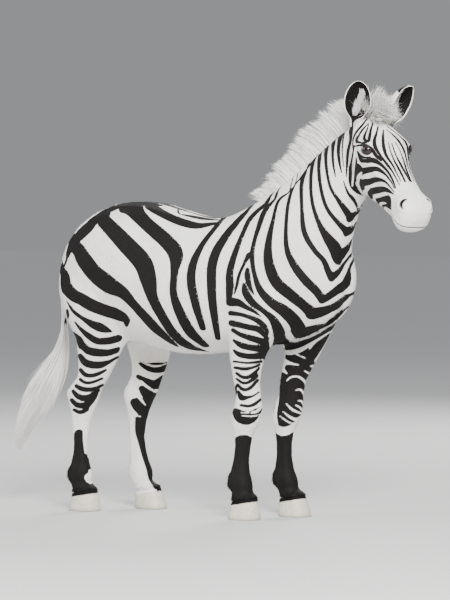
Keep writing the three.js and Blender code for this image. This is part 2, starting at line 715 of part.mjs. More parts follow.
const clearOfShoulders = union([grown(shoulders), grown(parts.barrel)]);
const clearOfEars = union([grown(parts.ear_right), grown(parts.ear_left)]);
parts.mane = cutBy(makeMane(), [clearOfNeck, clearOfShoulders, clearOfHead, clearOfEars]);
parts.forelock = cutBy(makeForelock(), [clearOfHead, clearOfEars, grown(parts.mane), clearOfNeck]);
parts.tail_dock = cutBy(makeDock(), [grown(parts.hindquarters)]);
parts.tail_tuft = cutBy(makeTuft(), [grown(parts.tail_dock), grown(parts.hindquarters)]);

// ---------------------------------------------------------------- materials and the scene
const finish = (color, roughness) => new THREE.MeshStandardMaterial({ color, roughness, metalness: 0 });
const coat = finish("#e9e4da", 0.85);
const darkCoat = finish("#1c1a18", 0.85);
const hair = finish("#f1ede3", 0.8);
const horn = finish("#d8cfbd", 0.5);
const wetEye = finish("#1b120c", 0.1);
const materialOf = (name) => {
  if (name.startsWith("hoof")) return horn;
  if (name.startsWith("eye")) return wetEye;
  if (name.endsWith("lower")) return darkCoat;
  return /mane|forelock|tuft/.test(name) ? hair : coat;
};

const zebra = new THREE.Group();
zebra.position.set(-ORIGIN[0], -ORIGIN[1], 0);
for (const [name, made] of Object.entries(parts)) {
  const mesh = new THREE.Mesh(geometryOf(made), materialOf(name));
  mesh.name = name;
  zebra.add(mesh);
}

export default zebra;
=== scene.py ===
# %% [markdown]
# # A plains zebra at life size
# This lesson dresses a finished set of plain solids as an animal: one skin with muscles and folds,
# the striped coat, eyes with lids, ears, hooves, and the mane, forelock and tail in fine locks.
# All lengths are metres, X points to the head, Y to the animal's left and Z up.
# The solids give every size, so the first step is to load them and to note how large they are.

# %% Load the solids
import bmesh
import bpy
import json
import numpy as np
from mathutils import Matrix, Vector
from mathutils.bvhtree import BVHTree

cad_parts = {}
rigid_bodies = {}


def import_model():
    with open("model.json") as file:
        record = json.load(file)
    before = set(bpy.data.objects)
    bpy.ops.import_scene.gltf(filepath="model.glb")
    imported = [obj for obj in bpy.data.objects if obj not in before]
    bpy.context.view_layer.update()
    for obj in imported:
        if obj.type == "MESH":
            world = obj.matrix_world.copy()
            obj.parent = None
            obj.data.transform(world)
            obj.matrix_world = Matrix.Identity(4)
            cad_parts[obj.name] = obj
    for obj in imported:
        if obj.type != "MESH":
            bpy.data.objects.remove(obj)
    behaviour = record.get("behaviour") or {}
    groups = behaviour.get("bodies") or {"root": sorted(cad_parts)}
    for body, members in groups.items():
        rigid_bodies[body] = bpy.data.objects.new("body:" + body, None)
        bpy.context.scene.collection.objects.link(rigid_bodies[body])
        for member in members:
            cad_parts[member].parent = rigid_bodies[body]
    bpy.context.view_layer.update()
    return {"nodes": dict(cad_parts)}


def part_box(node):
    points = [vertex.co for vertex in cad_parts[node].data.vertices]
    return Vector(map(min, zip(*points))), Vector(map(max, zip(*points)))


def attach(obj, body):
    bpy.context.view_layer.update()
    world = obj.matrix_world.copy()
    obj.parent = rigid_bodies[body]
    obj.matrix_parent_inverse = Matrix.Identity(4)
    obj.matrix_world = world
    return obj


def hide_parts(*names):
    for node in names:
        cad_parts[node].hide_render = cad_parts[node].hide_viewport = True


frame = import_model()

# %% [markdown]
# ## The sheet of glass
# Stripes are easiest to draw flat, as a sign painter does it: a sheet of glass stands beside the animal,
# the painter sits far away and draws on the glass what should show on the coat behind it.
# Here the glass stands through the withers, and each stroke is a list of points on it,
# (across, up, width) in centimetres. The same sheet places the camera, so both always agree.

# %% The painter's place and the sheet
LOOK = np.radians(32.0)  # how far the painter sits towards the head, from square to the side
RISE = np.radians(2.5)  # and above the sheet's middle
DISTANCE = 16.0
SHEET_AT = np.array([-0.142, 0.036, 0.75])
SHEET_UP_AT = 75.0  # the height in centimetres that the sheet's own middle counts as
to_painter = np.array([np.sin(LOOK) * np.cos(RISE), -np.cos(LOOK) * np.cos(RISE), np.sin(RISE)])
sheet_right = np.array([np.cos(LOOK), np.sin(LOOK), 0.0])
sheet_up = np.cross(to_painter, sheet_right)
painter = SHEET_AT + DISTANCE * to_painter


def on_sheet(points):
    """Where points in space show on the sheet: (across, up) in centimetres."""
    away = points - SHEET_AT
    scale = 100 * DISTANCE / (DISTANCE - away @ to_painter)
    return np.column_stack([away @ sheet_right * scale, away @ sheet_up * scale + SHEET_UP_AT])


def through_sheet(across, up):
    """A point of the sheet in space."""
    return SHEET_AT + sheet_right * across / 100 + sheet_up * (up - SHEET_UP_AT) / 100


print("the painter sits at", painter.round(2))

# %% [markdown]
# ## Camera, floor and light
# A long lens from far away keeps the proportions true, as a portrait of an animal needs.
# A black and white coat is hard to light: the black must keep its shape and the white must not burn out.
# So the light is soft, from a large panel high in front, with a weaker one behind and a pale room.

# %% Camera
MIDDLE_ON_SHEET = (8.5, 91.4)  # what the middle of the picture shows, in centimetres
PICTURE_HEIGHT = 2.5565  # how much of the sheet the picture's height takes in


def put(name, data, place, way):
    """A camera or a lamp at a place, turned to look along a way."""
    made = bpy.data.objects.new(name, data)
    bpy.context.collection.objects.link(made)
    made.location = place
    made.rotation_euler = way.to_track_quat("-Z", "Y").to_euler()
    return made


camera_data = bpy.data.cameras.new("camera")
camera_data.sensor_width = 36.0
camera_data.lens = camera_data.sensor_width * DISTANCE / PICTURE_HEIGHT
camera_data.clip_end = 100.0
aim = Vector(through_sheet(*MIDDLE_ON_SHEET) - painter)
bpy.context.scene.camera = put("camera", camera_data, painter, aim)
print("lens:", round(camera_data.lens), "mm")

# %% Lamps
LAMPS = {
    # name: (place, size, power), all turned to the chest
    "front_panel": ((4.4, -5.6, 5.0), 2.6, 1300),
    "side_panel": ((-5.5, -4.0, 3.6), 3.0, 230),
    "back_panel": ((-1.5, 6.0, 4.6), 3.0, 420),
}
CHEST = Vector((0.1, 0, 0.9))
for name, (place, size, power) in LAMPS.items():
    lamp_data = bpy.data.lights.new(name, "AREA")
    lamp_data.size = size
    lamp_data.energy = power
    put(name, lamp_data, place, CHEST - Vector(place))
print("lamps:", list(LAMPS))

# %% [markdown]
# ## Finishes
# Every finish of the lesson is a small net of nodes: an attribute or a noise goes in, ramps and mixes make
# a colour of it, and the shader takes the result. Clicking such nets together is slow to repeat, so one
# helper adds a node, sets or links its inputs and hands back its output, and the rest builds on it.

# %% A finish and its nodes
class Finish:
    """A new material, with short helpers for the nodes that this lesson uses."""

    def __init__(self, name):
        self.made = bpy.data.materials.new(name)
        self.made.use_nodes = True

    def feed(self, target, inputs):
        """Sets the inputs of a node, or links them where a value is another node's output."""
        for key, value in inputs.items():
            if isinstance(value, bpy.types.NodeSocket):
                self.made.node_tree.links.new(value, target.inputs[key])
            else:
                target.inputs[key].default_value = value

    def node(self, kind, output, inputs=None, **settings):
        """Adds a node and gives the output that is asked for."""
        new = self.made.node_tree.nodes.new("ShaderNode" + kind)
        for key, value in settings.items():
            setattr(new, key, value)
        self.feed(new, inputs or {})
        return new.outputs[output]

    def attribute(self, name):
        return self.node("Attribute", "Fac", attribute_name=name)

    def noise(self, scale, detail, **inputs):
        return self.node("TexNoise", "Fac", {"Scale": scale, "Detail": detail, **inputs})

    def stretched(self, place, scale):
        return self.node("Mapping", "Vector", {"Vector": place, "Scale": scale})

    def sums(self, operation, *values):
        return self.node("Math", 0, dict(enumerate(values)), operation=operation)

    def spread(self, value, low, high, to_low=0.0, to_high=1.0, **settings):
        """The share of a value between low and high, as a number from to_low to to_high."""
        ends = {"From Min": low, "From Max": high, "To Min": to_low, "To Max": to_high}
        return self.node("MapRange", "Result", {"Value": value, **ends}, **settings)

    def ramp(self, value, *stops):
        """Colours by stops of (place, colour), from the lowest place to the highest."""
        out = self.node("ValToRGB", "Color", {"Fac": value})
        elements = out.node.color_ramp.elements
        first, *between, last = stops
        for element, (place, colour) in zip(elements, (first, last)):
            element.position, element.color = place, (*colour, 1)
        for place, colour in between:
            elements.new(place).color = (*colour, 1)
        return out

    def mix(self, share, low, high, way="MIX"):
        """Goes from one colour to another by a share, or lays the second over the first."""
        low, high = [(*c, 1) if isinstance(c, tuple) else c for c in (low, high)]
        return self.node("Mix", 2, {"Factor": share, 6: low, 7: high}, data_type="RGBA", blend_type=way)

    def bump(self, height, strength, distance):
        return self.node("Bump", 0, {"Height": height, "Strength": strength, "Distance": distance})

    def shade(self, inputs):
        """Feeds the shader and gives the finished material."""
        self.feed(self.made.node_tree.nodes["Principled BSDF"], inputs)
        return self.made

# %% Floor and room
FLOOR_SIZE = 90.0
# The floor is painted paler round the animal and darker far off: a painted pool of light that fades out from
# FADE_FROM to FADE_TO metres away.
FLOOR_NEAR_PAINTED_LIGHT, FLOOR_FAR = (0.60, 0.595, 0.58), (0.43, 0.43, 0.43)
FADE_FROM, FADE_TO = 3.5, 17.0  # metres from the animal
ROOM_LOW = (0.30, 0.303, 0.31)  # the room's wall, as bright as the far floor, so that no line parts them
ROOM_HIGH = (0.80, 0.815, 0.85)  # and its ceiling, which gives most of the soft light


def new_object(name, points, faces):
    mesh = bpy.data.meshes.new(name)
    mesh.from_pydata(np.asarray(points).tolist(), [], faces)
    made = bpy.data.objects.new(name, mesh)
    bpy.context.collection.objects.link(made)
    return made


half = FLOOR_SIZE / 2
corners = [(-half, -half, 0), (half, -half, 0), (half, half, 0), (-half, half, 0)]
floor = new_object("floor", corners, [(0, 1, 2, 3)])
paint = Finish("floor_paint")
far = paint.node("VectorMath", "Value", {0: paint.node("TexCoord", "Object")}, operation="LENGTH")
# how far the painted pool of light has faded, by the distance from the animal
painted_pool_share = paint.spread(far, FADE_FROM, FADE_TO, interpolation_type="SMOOTHSTEP")
floor_colour = paint.mix(painted_pool_share, FLOOR_NEAR_PAINTED_LIGHT, FLOOR_FAR)
floor.data.materials.append(paint.shade({"Base Color": floor_colour, "Roughness": 0.9}))

world = bpy.data.worlds.new("room")
world.use_nodes = True
nodes, links = world.node_tree.nodes, world.node_tree.links
height = nodes.new("ShaderNodeSeparateXYZ")
ramp = nodes.new("ShaderNodeValToRGB")
links.new(nodes.new("ShaderNodeTexCoord").outputs["Generated"], height.inputs[0])
links.new(height.outputs["Z"], ramp.inputs["Fac"])
links.new(ramp.outputs["Color"], nodes["Background"].inputs["Color"])
for element, place, colour in zip(ramp.color_ramp.elements, (0.08, 0.85), (ROOM_LOW, ROOM_HIGH)):
    element.position, element.color = place, (*colour, 1)
bpy.context.scene.world = world
print("floor:", FLOOR_SIZE, "m, paler near the animal")

# %% [markdown]
# ## One skin
# A living coat has no seams, but the solids are separate pieces that only touch. A voxel remesh
# melts overlapping closed meshes into one surface of even squares, as clay would be pressed together.
# The head goes in as a finer surface of its own, because the solids' head has few sides.

# %% The head's own measure
MIDDLE = 0.036  # Y of the plane that splits the body into a left and a right half
POLL = np.array([0.692, -0.014, 1.642])
HEAD_PITCH = np.radians(40.0)  # the face slopes down
HEAD_TURN = np.radians(-35.0)  # and turns to the animal's right
HEAD_SCALE = 1.04 / 1000  # the head is listed in millimetres
turn_z = np.array(Matrix.Rotation(HEAD_TURN, 3, "Z"))
turn_y = np.array(Matrix.Rotation(HEAD_PITCH, 3, "Y"))
head_axes = turn_z @ turn_y  # columns: to the muzzle, to the left, out of the forehead


def from_head(points):
    """Points of the head's own frame, in space."""
    return POLL + np.asarray(points, float) * HEAD_SCALE @ head_axes.T


def in_head(points):
    """Points in space, in the head's own frame and millimetres."""
    return (np.asarray(points, float) - POLL) @ head_axes / HEAD_SCALE


# Sections from the poll to the lips: [x, top, bottom, half width, height of the widest place
# from -1 to 1, roundness above, roundness below]
HEAD_SECTIONS = [
    [-52, 20, -50, 46, 0.0, 2.0, 2.0],
    [-30, 46, -98, 74, 0.2, 2.1, 2.0],
    [10, 63, -144, 86, 0.25, 2.3, 2.0],
    [60, 73, -178, 90, 0.3, 2.5, 2.1],
    [110, 80, -196, 92, 0.35, 2.7, 2.1],
    [160, 83, -197, 91, 0.35, 2.8, 2.1],
    [205, 80, -189, 86, 0.3, 2.8, 2.1],
    [250, 74, -172, 78, 0.2, 2.6, 2.2],
    [295, 68, -151, 74, 0.1, 2.4, 2.2],
    [345, 63, -132, 69, 0.0, 2.3, 2.2],
    [395, 59, -116, 66, -0.05, 2.3, 2.2],
    [440, 58, -103, 66, -0.05, 2.3, 2.2],
    [480, 60, -99, 68, -0.05, 2.4, 2.2],
    [515, 57, -93, 68, -0.05, 2.4, 2.2],
    [543, 45, -79, 61, -0.1, 2.3, 2.2],
    [561, 23, -58, 46, -0.15, 2.2, 2.1],
    [570, 0, -40, 24, -0.15, 2.0, 2.0],
]
# Swellings and hollows: [x, y to each side, z, reach along x, reach across, height]
HEAD_RELIEF = [
    [170, 92, 60, 44, 26, 17],  # brow, over the eye
    [192, 92, -4, 42, 26, 9],  # lower rim of the eye socket
    [262, 74, -4, 62, 18, 7],  # cheek bone's ridge
    [112, 84, -88, 86, 68, 9],  # jowl
    [88, 74, 52, 34, 26, -5],  # hollow above the eye
    [330, 62, -54, 60, 32, -6],  # hollow in front of the cheek
    [502, 50, 26, 36, 28, 13],  # wing of the nostril
    [500, 20, -106, 34, 34, 9],  # chin
    [448, 40, -74, 26, 30, -5],  # behind the chin
    [548, 30, 0, 28, 30, 6],  # upper lip
]
HEAD_SIDES = 96
HEAD_STEPS = 6  # rings between two sections


def unit(ways, guard=0.0):
    """Vectors at a length of 1; the guard saves one without any length from a division by nothing."""
    return ways / (np.linalg.norm(ways, axis=-1, keepdims=True) + guard)


def round_angles(sides):
    return 2 * np.pi * np.arange(sides) / sides


def smooth_rows(rows, steps):
    """The rows of a table with smooth rows between them."""
    rows = np.asarray(rows, float)
    padded = np.vstack([rows[:1], rows, rows[-1:]])
    out = []
    for i in range(len(rows) - 1):
        a, b, c, d = padded[i : i + 4]
        for t in np.arange(steps) / steps:
            cube = t * (3 * (b - c) + d - a)
            out.append(b + 0.5 * t * (c - a + t * (2 * a - 5 * b + 4 * c - d + cube)))
    out.append(rows[-1])
    return np.array(out)


def egg(sides, half, widest, above, below):
    """A section's outline in (sideways, upwards): two rounded halves that meet at its widest place."""
    angle = round_angles(sides)
    s, c = np.sin(angle), np.cos(angle)
    power = np.where(s > 0, 2 / above, 2 / below)
    reach = np.where(s > 0, 1 - widest, 1 + widest)
    return half * np.sign(c) * np.abs(c) ** power, widest + reach * np.sign(s) * np.abs(s) ** power


def loft(rings):
    """Points and faces of a closed skin over rings of equal length."""
    rings = np.asarray(rings)
    count, sides = rings.shape[:2]
    points = rings.reshape(-1, 3)
    ring = np.arange(sides)
    faces = []
    for i in range(count - 1):
        a = i * sides + ring
        b = i * sides + (ring + 1) % sides
        faces += np.column_stack([a, b, b + sides, a + sides]).tolist()
    faces.append(ring[::-1].tolist())
    faces.append((ring + (count - 1) * sides).tolist())
    return points, faces


def head_rings():
    rings = []
    for x, top, bottom, width, widest, above, below in smooth_rows(HEAD_SECTIONS, HEAD_STEPS):
        side, up = egg(HEAD_SIDES, width, widest, above, below)
        ring = np.column_stack([np.full(HEAD_SIDES, x), side, bottom + (top - bottom) * (up + 1) / 2])
        out = unit(ring - [x, 0, (top + bottom) / 2])
        lift = np.zeros(HEAD_SIDES)
        for at_x, at_y, at_z, long, wide, height in HEAD_RELIEF:
            away = (np.abs(ring[:, 1]) - at_y) ** 2 + (ring[:, 2] - at_z) ** 2
            lift += height * np.exp(-(((x - at_x) / long) ** 2) - away / wide**2)
        rings.append(from_head(ring + out * lift[:, None]))
    return rings

# %% Gather the pieces of flesh
EYE_AT = [174, 77, 29]  # in the head's frame, to each side
EYE_RADIUS = 29
EYE_OUT, EYE_ALONG = (0.38, 0.87, 0.26), (0.87, -0.42, 0.3)  # ways of the left eye, in the head's frame
LID = 3.5  # the lids' thickness
LEG_NAMES = ["front_right", "front_left", "hind_right", "hind_left"]
FLESH = ["hindquarters", "barrel", "shoulders", "neck", "tail_dock"]
FLESH += [f"leg_{leg}_{part}" for leg in LEG_NAMES for part in ("upper", "lower")]
PLUG_SIDES = 24
PLUG_RINGS = ((0.045, 0.028), (0.1, 0.043))  # (height, radius) of the stump inside a hoof
PLUG_BACK = 0.006  # so far behind the hoof's middle
OVERLAP = 0.0007  # each piece is grown by this much, so that neighbours melt together
VOXEL = 0.0065


def ball(at, radius, rings=24):
    """Points and faces of a round ball in space."""
    shape = bmesh.new()
    bmesh.ops.create_uvsphere(shape, u_segments=rings * 2, v_segments=rings, radius=radius)
    points = np.array([v.co for v in shape.verts]) + at
    faces = [[v.index for v in f.verts] for f in shape.faces]
    shape.free()
    return points, faces


def eye_frame(side):
    """The eye's own axes as columns: forward along the lids, up across them, and outwards."""
    out = np.array(EYE_OUT) * [1, side, 1]
    out /= np.linalg.norm(out)
    along = np.array(EYE_ALONG) * [1, side, 1]
    along -= out * (along @ out)
    along /= np.linalg.norm(along)
    up = np.cross(out, along)
    if up[2] < 0:
        up = -up
    return head_axes @ np.column_stack([along, up, out])


def eye_middle(side):
    return from_head([EYE_AT[0], side * EYE_AT[1], EYE_AT[2]])


def hoof_plug(leg):
    """A short stump inside each hoof, so that the skin ends within the horn."""
    low, high = [np.array(corner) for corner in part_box(f"hoof_{leg}")]
    middle = (low + high) / 2
    angle = round_angles(PLUG_SIDES)
    rings = []
    for z, wide in PLUG_RINGS:
        place = [middle[0] - PLUG_BACK, middle[1], z]
        rings.append(np.column_stack([np.cos(angle) * wide, np.sin(angle) * wide, 0 * angle]) + place)
    return loft(rings)


def gather():
    """All the flesh as one list of points and one of faces, still overlapping."""
    points, faces, count = [], [], 0

    def add(new_points, new_faces):
        nonlocal count
        points.append(new_points)
        faces.extend([[k + count for k in face] for face in new_faces])
        count += len(new_points)

    for name in FLESH:
        mesh = frame["nodes"][name].data
        place = np.array([v.co for v in mesh.vertices])
        outward = np.array([v.normal for v in mesh.vertices])
        add(place + OVERLAP * outward, [list(p.vertices) for p in mesh.polygons])
    add(*loft(head_rings()))
    for side in (-1, 1):
        add(*ball(eye_middle(side), (EYE_RADIUS + LID) * HEAD_SCALE))
    for leg in LEG_NAMES:
        add(*hoof_plug(leg))
    return np.vstack(points), faces


def apply_modifiers(made):
    """Keeps what the modifiers show as the object's own mesh."""
    shown = made.evaluated_get(bpy.context.evaluated_depsgraph_get())
    mesh = bpy.data.meshes.new_from_object(shown)
    made.modifiers.clear()
    made.data = mesh
    return made


skin = new_object("skin", *gather())
melt = skin.modifiers.new("melt", "REMESH")
melt.mode = "VOXEL"
melt.voxel_size = VOXEL
apply_modifiers(skin)
print("skin:", len(skin.data.vertices), "points in squares of", VOXEL, "m")

# %% [markdown]
# ## Smoothing the clay
# The remesh leaves small steps and keeps the hard corners where a leg meets the belly.
# Each round of smoothing moves a point towards the middle of its neighbours, and a second move the other
# way (Taubin's method) keeps the volume. Where legs join the trunk it is plain smoothing, which fills
# the corner as skin does. Doing it on arrays takes a second, where a brush would take an afternoon.

# %% Points, edges and smoothing
def read(rows, name, width=1, kind=np.float32):
    """One property of every point, edge or face of a mesh, as an array."""
    flat = np.empty(len(rows) * width, kind)
    rows.foreach_get(name, flat)
    return flat.reshape(-1, width) if width > 1 else flat


def read_points(mesh):
    return read(mesh.vertices, "co", 3).astype(float)


def read_edges(mesh):
    return read(mesh.edges, "vertices", 2, np.int32)


def read_normals(mesh):
    return read(mesh.vertex_normals, "vector", 3).astype(float)


def write_points(mesh, points):
    mesh.vertices.foreach_set("co", points.astype(np.float32).ravel())
    mesh.update()


SMOOTHING = 0.6  # the share of the way to the middle that one round goes
TAUBIN = 1.04  # how much further the move back goes
ROUNDS, CORNER_ROUNDS, HEAD_ROUNDS = 8, 70, 6


def smooth(points, edges, rounds, strength, back=0.0):
    """Rounds of moving each point towards its neighbours, and back by another share."""
    count = len(points)
    neighbours = np.bincount(edges.ravel(), minlength=count)[:, None]
    strength = np.broadcast_to(np.asarray(strength, float), (count,))[:, None]

    def pull(now):
        total = np.empty_like(now)
        for axis in range(3):
            weights = np.concatenate([now[edges[:, 1], axis], now[edges[:, 0], axis]])
            total[:, axis] = np.bincount(edges.T.ravel(), weights=weights, minlength=count)
        return total / np.maximum(neighbours, 1) - now

    for _ in range(rounds):
        points = points + strength * pull(points)
        if back:
            points = points - back * strength * pull(points)
    return points


def falloff(distance, reach):
    """1 at nothing, soft to 0 at the reach."""
    t = np.clip(1 - distance / reach, 0, 1)
    return t * t * (3 - 2 * t)


def bell(distance, width):
    """1 at nothing, soft to almost 0 at twice the width."""
    return np.exp(-((distance / width) ** 2))


def line_distance(points, start, end):
    start, end = np.asarray(start, float), np.asarray(end, float)
    way = end - start
    share = np.clip((points - start) @ way / max(way @ way, 1e-12), 0, 1)
    return np.linalg.norm(points - start - share[:, None] * way, axis=1)


# Where the legs grow out of the trunk, and how far round them the corner fills: (x, off the middle, z)
CREASES = [
    ((0.19, 0.06, 0.73), (0.33, 0.07, 0.76), 0.11),  # between the forelegs
    ((0.02, 0.16, 0.80), (0.12, 0.19, 0.98), 0.10),  # behind the elbow
    ((0.36, 0.15, 0.80), (0.44, 0.16, 0.95), 0.10),  # in front of the arm
    ((-0.36, 0.15, 0.76), (-0.28, 0.2, 0.98), 0.12),  # flank
    ((-0.62, 0.06, 0.79), (-0.45, 0.06, 0.76), 0.10),  # between the thighs
    ((-0.76, 0.08, 1.02), (-0.74, 0.06, 0.84), 0.10),  # behind the thigh
]
# Where the corner fills all round: (place, reach)
HOLLOWS = [
    (from_head([-10, 0, -70]), 0.2),  # from the neck to the head
    ([-0.80, MIDDLE, 1.16], 0.12),  # root of the tail
]


def mirrored(x, off, z):
    return [(x, MIDDLE + side * off, z) for side in (-1, 1)]


points = read_points(skin.data)
edges = read_edges(skin.data)
points = smooth(points, edges, ROUNDS, SMOOTHING, back=TAUBIN)
weight = np.zeros(len(points))
for start, end, reach in CREASES:
    for a, b in zip(mirrored(*start), mirrored(*end)):
        weight = np.maximum(weight, falloff(line_distance(points, a, b), reach * 1.6))
for place, reach in HOLLOWS:
    weight = np.maximum(weight, falloff(np.linalg.norm(points - place, axis=1), reach))
points = smooth(points, edges, CORNER_ROUNDS, SMOOTHING * np.clip(weight * 1.4, 0, 1))
write_points(skin.data, points)
print("smoothed; the skin is now", (points.max(0) - points.min(0)).round(3))

# %% [markdown]
# ## Finer squares on the head
# The face has stripes only a few millimetres wide and lids that must be crisp, so its squares are cut
# in four, and those of the face in four again. A finer skin everywhere would only cost time.

# %% Cut the squares of the head
def cut_squares(mesh, wanted):
    """Splits every edge whose ends are both wanted, and the faces between them."""
    shape = bmesh.new()
    shape.from_mesh(mesh)
    shape.verts.ensure_lookup_table()
    chosen = [e for e in shape.edges if wanted[e.verts[0].index] and wanted[e.verts[1].index]]
    bmesh.ops.subdivide_edges(shape, edges=chosen, cuts=1, use_grid_fill=True, smooth=0.0)
    bmesh.ops.triangulate(shape, faces=[f for f in shape.faces if len(f.verts) > 4])
    shape.to_mesh(mesh)
    shape.free()


# Boxes in the head's frame: back end, half width, lowest and highest place
HEAD_BOX, FACE_BOX = (-60, 135, -215, 120), (60, 125, -200, 120)


def in_box(local, box):
    """Which places of the head's frame lie in a box."""
    back, half_wide, low, high = box
    ahead, beside, above = local.T
    return (ahead > back) & (np.abs(beside) < half_wide) & (above > low) & (above < high)


local = in_head(points)
before_throat = local[:, 0] - 0.5 * (local[:, 2] + 120) > -75
cut_squares(skin.data, in_box(local, HEAD_BOX) & before_throat)
cut_squares(skin.data, in_box(in_head(read_points(skin.data)), FACE_BOX))
points = read_points(skin.data)
edges = read_edges(skin.data)
local = in_head(points)
behind_poll = np.maximum(0, -local[:, 0] - 60)
points = smooth(points, edges, HEAD_ROUNDS, SMOOTHING * falloff(behind_poll, 60), back=TAUBIN)
write_points(skin.data, points)
print("the skin now has", len(points), "points")

# %% [markdown]
# ## Muscles, bones and folds
# Under a short coat the big forms show: the shoulder blade, the arm, the hip, the hollow of the flank,
# tendons and joints. Each is a soft swelling or groove along a short line, pushed out or in
# along the skin's own direction. A list of lines is quicker to correct than a sculpted mesh.

# %% Forms of the body
# [from (x, off the middle, z), to, reach, height], all in metres, on both sides
BODY_FORMS = [
    [(0.18, 0.09, 1.29), (0.40, 0.18, 1.02), 0.045, 0.005],  # ridge of the shoulder blade
    [(0.10, 0.14, 1.22), (0.20, 0.20, 1.04), 0.055, -0.004],  # hollow behind it
    [(0.27, 0.15, 1.27), (0.42, 0.16, 1.10), 0.050, -0.003],  # hollow in front of it
    [(0.45, 0.16, 0.97), (0.47, 0.15, 0.93), 0.060, 0.007],  # point of the shoulder
    [(0.20, 0.20, 0.97), (0.28, 0.20, 0.92), 0.100, 0.008],  # upper arm's muscle
    [(0.08, 0.19, 0.90), (0.10, 0.17, 0.82), 0.040, -0.004],  # behind the elbow
    [(0.12, 0.17, 0.80), (0.14, 0.17, 0.78), 0.040, 0.006],  # elbow
    [(0.50, 0.05, 0.90), (0.53, 0.07, 0.99), 0.070, 0.009],  # breast
    [(0.55, 0.0, 1.00), (0.47, 0.0, 0.80), 0.030, -0.009],  # cleft of the breast
    [(0.50, 0.10, 1.12), (0.66, 0.075, 1.36), 0.040, -0.004],  # groove along the throat
    [(0.40, 0.12, 1.36), (0.62, 0.07, 1.54), 0.060, 0.003],  # muscle along the crest
    [(-0.46, 0.20, 1.24), (-0.44, 0.21, 1.21), 0.055, 0.008],  # hip bone
    [(-0.34, 0.22, 1.17), (-0.30, 0.24, 1.06), 0.080, -0.007],  # hollow of the flank
    [(-0.36, 0.22, 0.92), (-0.42, 0.19, 0.84), 0.045, 0.005],  # fold from flank to stifle
    [(-0.30, 0.25, 0.88), (-0.37, 0.20, 0.80), 0.040, -0.004],  # groove under it
    [(-0.70, 0.14, 1.16), (-0.72, 0.13, 0.84), 0.030, -0.006],  # groove of the thigh
    [(-0.62, 0.18, 1.06), (-0.60, 0.17, 0.90), 0.080, 0.005],  # thigh
    [(-0.47, 0.18, 0.84), (-0.46, 0.17, 0.80), 0.050, 0.007],  # stifle
    [(-0.60, 0.16, 0.72), (-0.63, 0.13, 0.62), 0.040, -0.004],  # behind the shank
    [(-0.78, 0.05, 1.08), (-0.80, 0.05, 0.98), 0.050, 0.006],  # buttock
    [(-0.82, 0.0, 1.00), (-0.79, 0.0, 0.82), 0.028, -0.012],  # cleft between the buttocks
]
RIBS = 9
RIB_FROM, RIB_STEP = 0.04, -0.047  # the place of the first rib, and from one to the next
RIB_TOP, RIB_FOOT = (0.03, 0.235, 1.12), (-0.05, 0.25, 0.86)  # the ends, from that place
RIB_REACH, RIB_HEIGHT = 0.013, 0.0013


def push(points, normals, start, end, reach, height):
    """Lifts the skin round a line, softly and only where it faces the same way."""
    lift = height * falloff(line_distance(points, start, end), reach * 1.8)
    return points + normals * lift[:, None]


normals = read_normals(skin.data)
for start, end, reach, height in BODY_FORMS:
    for a, b in zip(mirrored(*start), mirrored(*end)):
        points = push(points, normals, a, b, reach, height)
for k in range(RIBS):
    x = RIB_FROM + k * RIB_STEP
    for a, b in zip(mirrored(x + RIB_TOP[0], *RIB_TOP[1:]), mirrored(x + RIB_FOOT[0], *RIB_FOOT[1:])):
        points = push(points, normals, a, b, RIB_REACH, RIB_HEIGHT)
write_points(skin.data, points)
print("forms of the body:", 2 * len(BODY_FORMS), "and", 2 * RIBS, "ribs")

# %% Joints and tendons of the legs
LEG_REACH = 0.17


def leg_box(leg):
    """The lowest and highest corner of a leg below the trunk."""
    boxes = [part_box(f"leg_{leg}_{part}") for part in ("upper", "lower")]
    return np.min([b[0] for b in boxes], axis=0), np.max([b[1] for b in boxes], axis=0)


def leg_centres(leg, step=0.01):
    """The middle of a leg at each height, measured on the skin: rows of (z, x, y)."""
    low, high = leg_box(leg)
    slack = 0.004
    inside = np.all((points > low - slack) & (points < high + slack), axis=1)
    own = points[inside]
    rows = []
    for z in np.arange(0.09, high[2] - 0.01, step):
        ring = own[np.abs(own[:, 2] - z) < step]
        middle = (ring.min(0) + ring.max(0)) / 2
        rows.append([z, middle[0], middle[1]])
    return np.array(rows)


centres = {leg: leg_centres(leg) for leg in LEG_NAMES}


def leg_middle(leg, z):
    """X and Y of a leg's middle at a height, or at many."""
    heights, x, y = centres[leg].T
    return np.stack([np.interp(z, heights, x), np.interp(z, heights, y)], axis=-1)


# [(forward of the leg's middle, outwards, z), same of the far end, reach, height], for one leg
FORE_FORMS = [
    [(0.05, 0, 0.455), (0.05, 0, 0.42), 0.035, 0.003],  # flat front of the knee
    [(-0.06, 0, 0.455), (-0.055, 0, 0.44), 0.022, 0.007],  # bone behind the knee
    [(-0.004, 0.05, 0.51), (-0.004, 0.04, 0.58), 0.02, -0.003],  # groove of the forearm
    [(-0.006, 0.03, 0.37), (-0.006, 0.03, 0.21), 0.011, -0.0035],  # groove before the tendons
    [(-0.006, -0.03, 0.37), (-0.006, -0.03, 0.21), 0.011, -0.0035],
]
HIND_FORMS = [
    [(-0.085, 0, 0.515), (-0.08, 0, 0.50), 0.022, 0.007],  # point of the hock
    [(-0.045, 0.045, 0.56), (-0.055, 0.05, 0.63), 0.022, -0.006],  # hollow before the tendon
    [(-0.045, -0.045, 0.56), (-0.055, -0.05, 0.63), 0.022, -0.006],
    [(0.03, 0.04, 0.49), (0.02, 0.04, 0.46), 0.02, 0.003],  # bones of the hock
    [(-0.006, 0.032, 0.40), (-0.006, 0.03, 0.21), 0.011, -0.0035],
    [(-0.006, -0.032, 0.40), (-0.006, -0.03, 0.21), 0.011, -0.0035],
]
FETLOCK_FORMS = [
    [(-0.045, 0, 0.17), (-0.05, 0, 0.145), 0.022, 0.005],  # back of the fetlock
    [(-0.045, 0, 0.105), (-0.04, 0, 0.10), 0.018, -0.005],  # hollow of the pastern
]
normals = read_normals(skin.data)
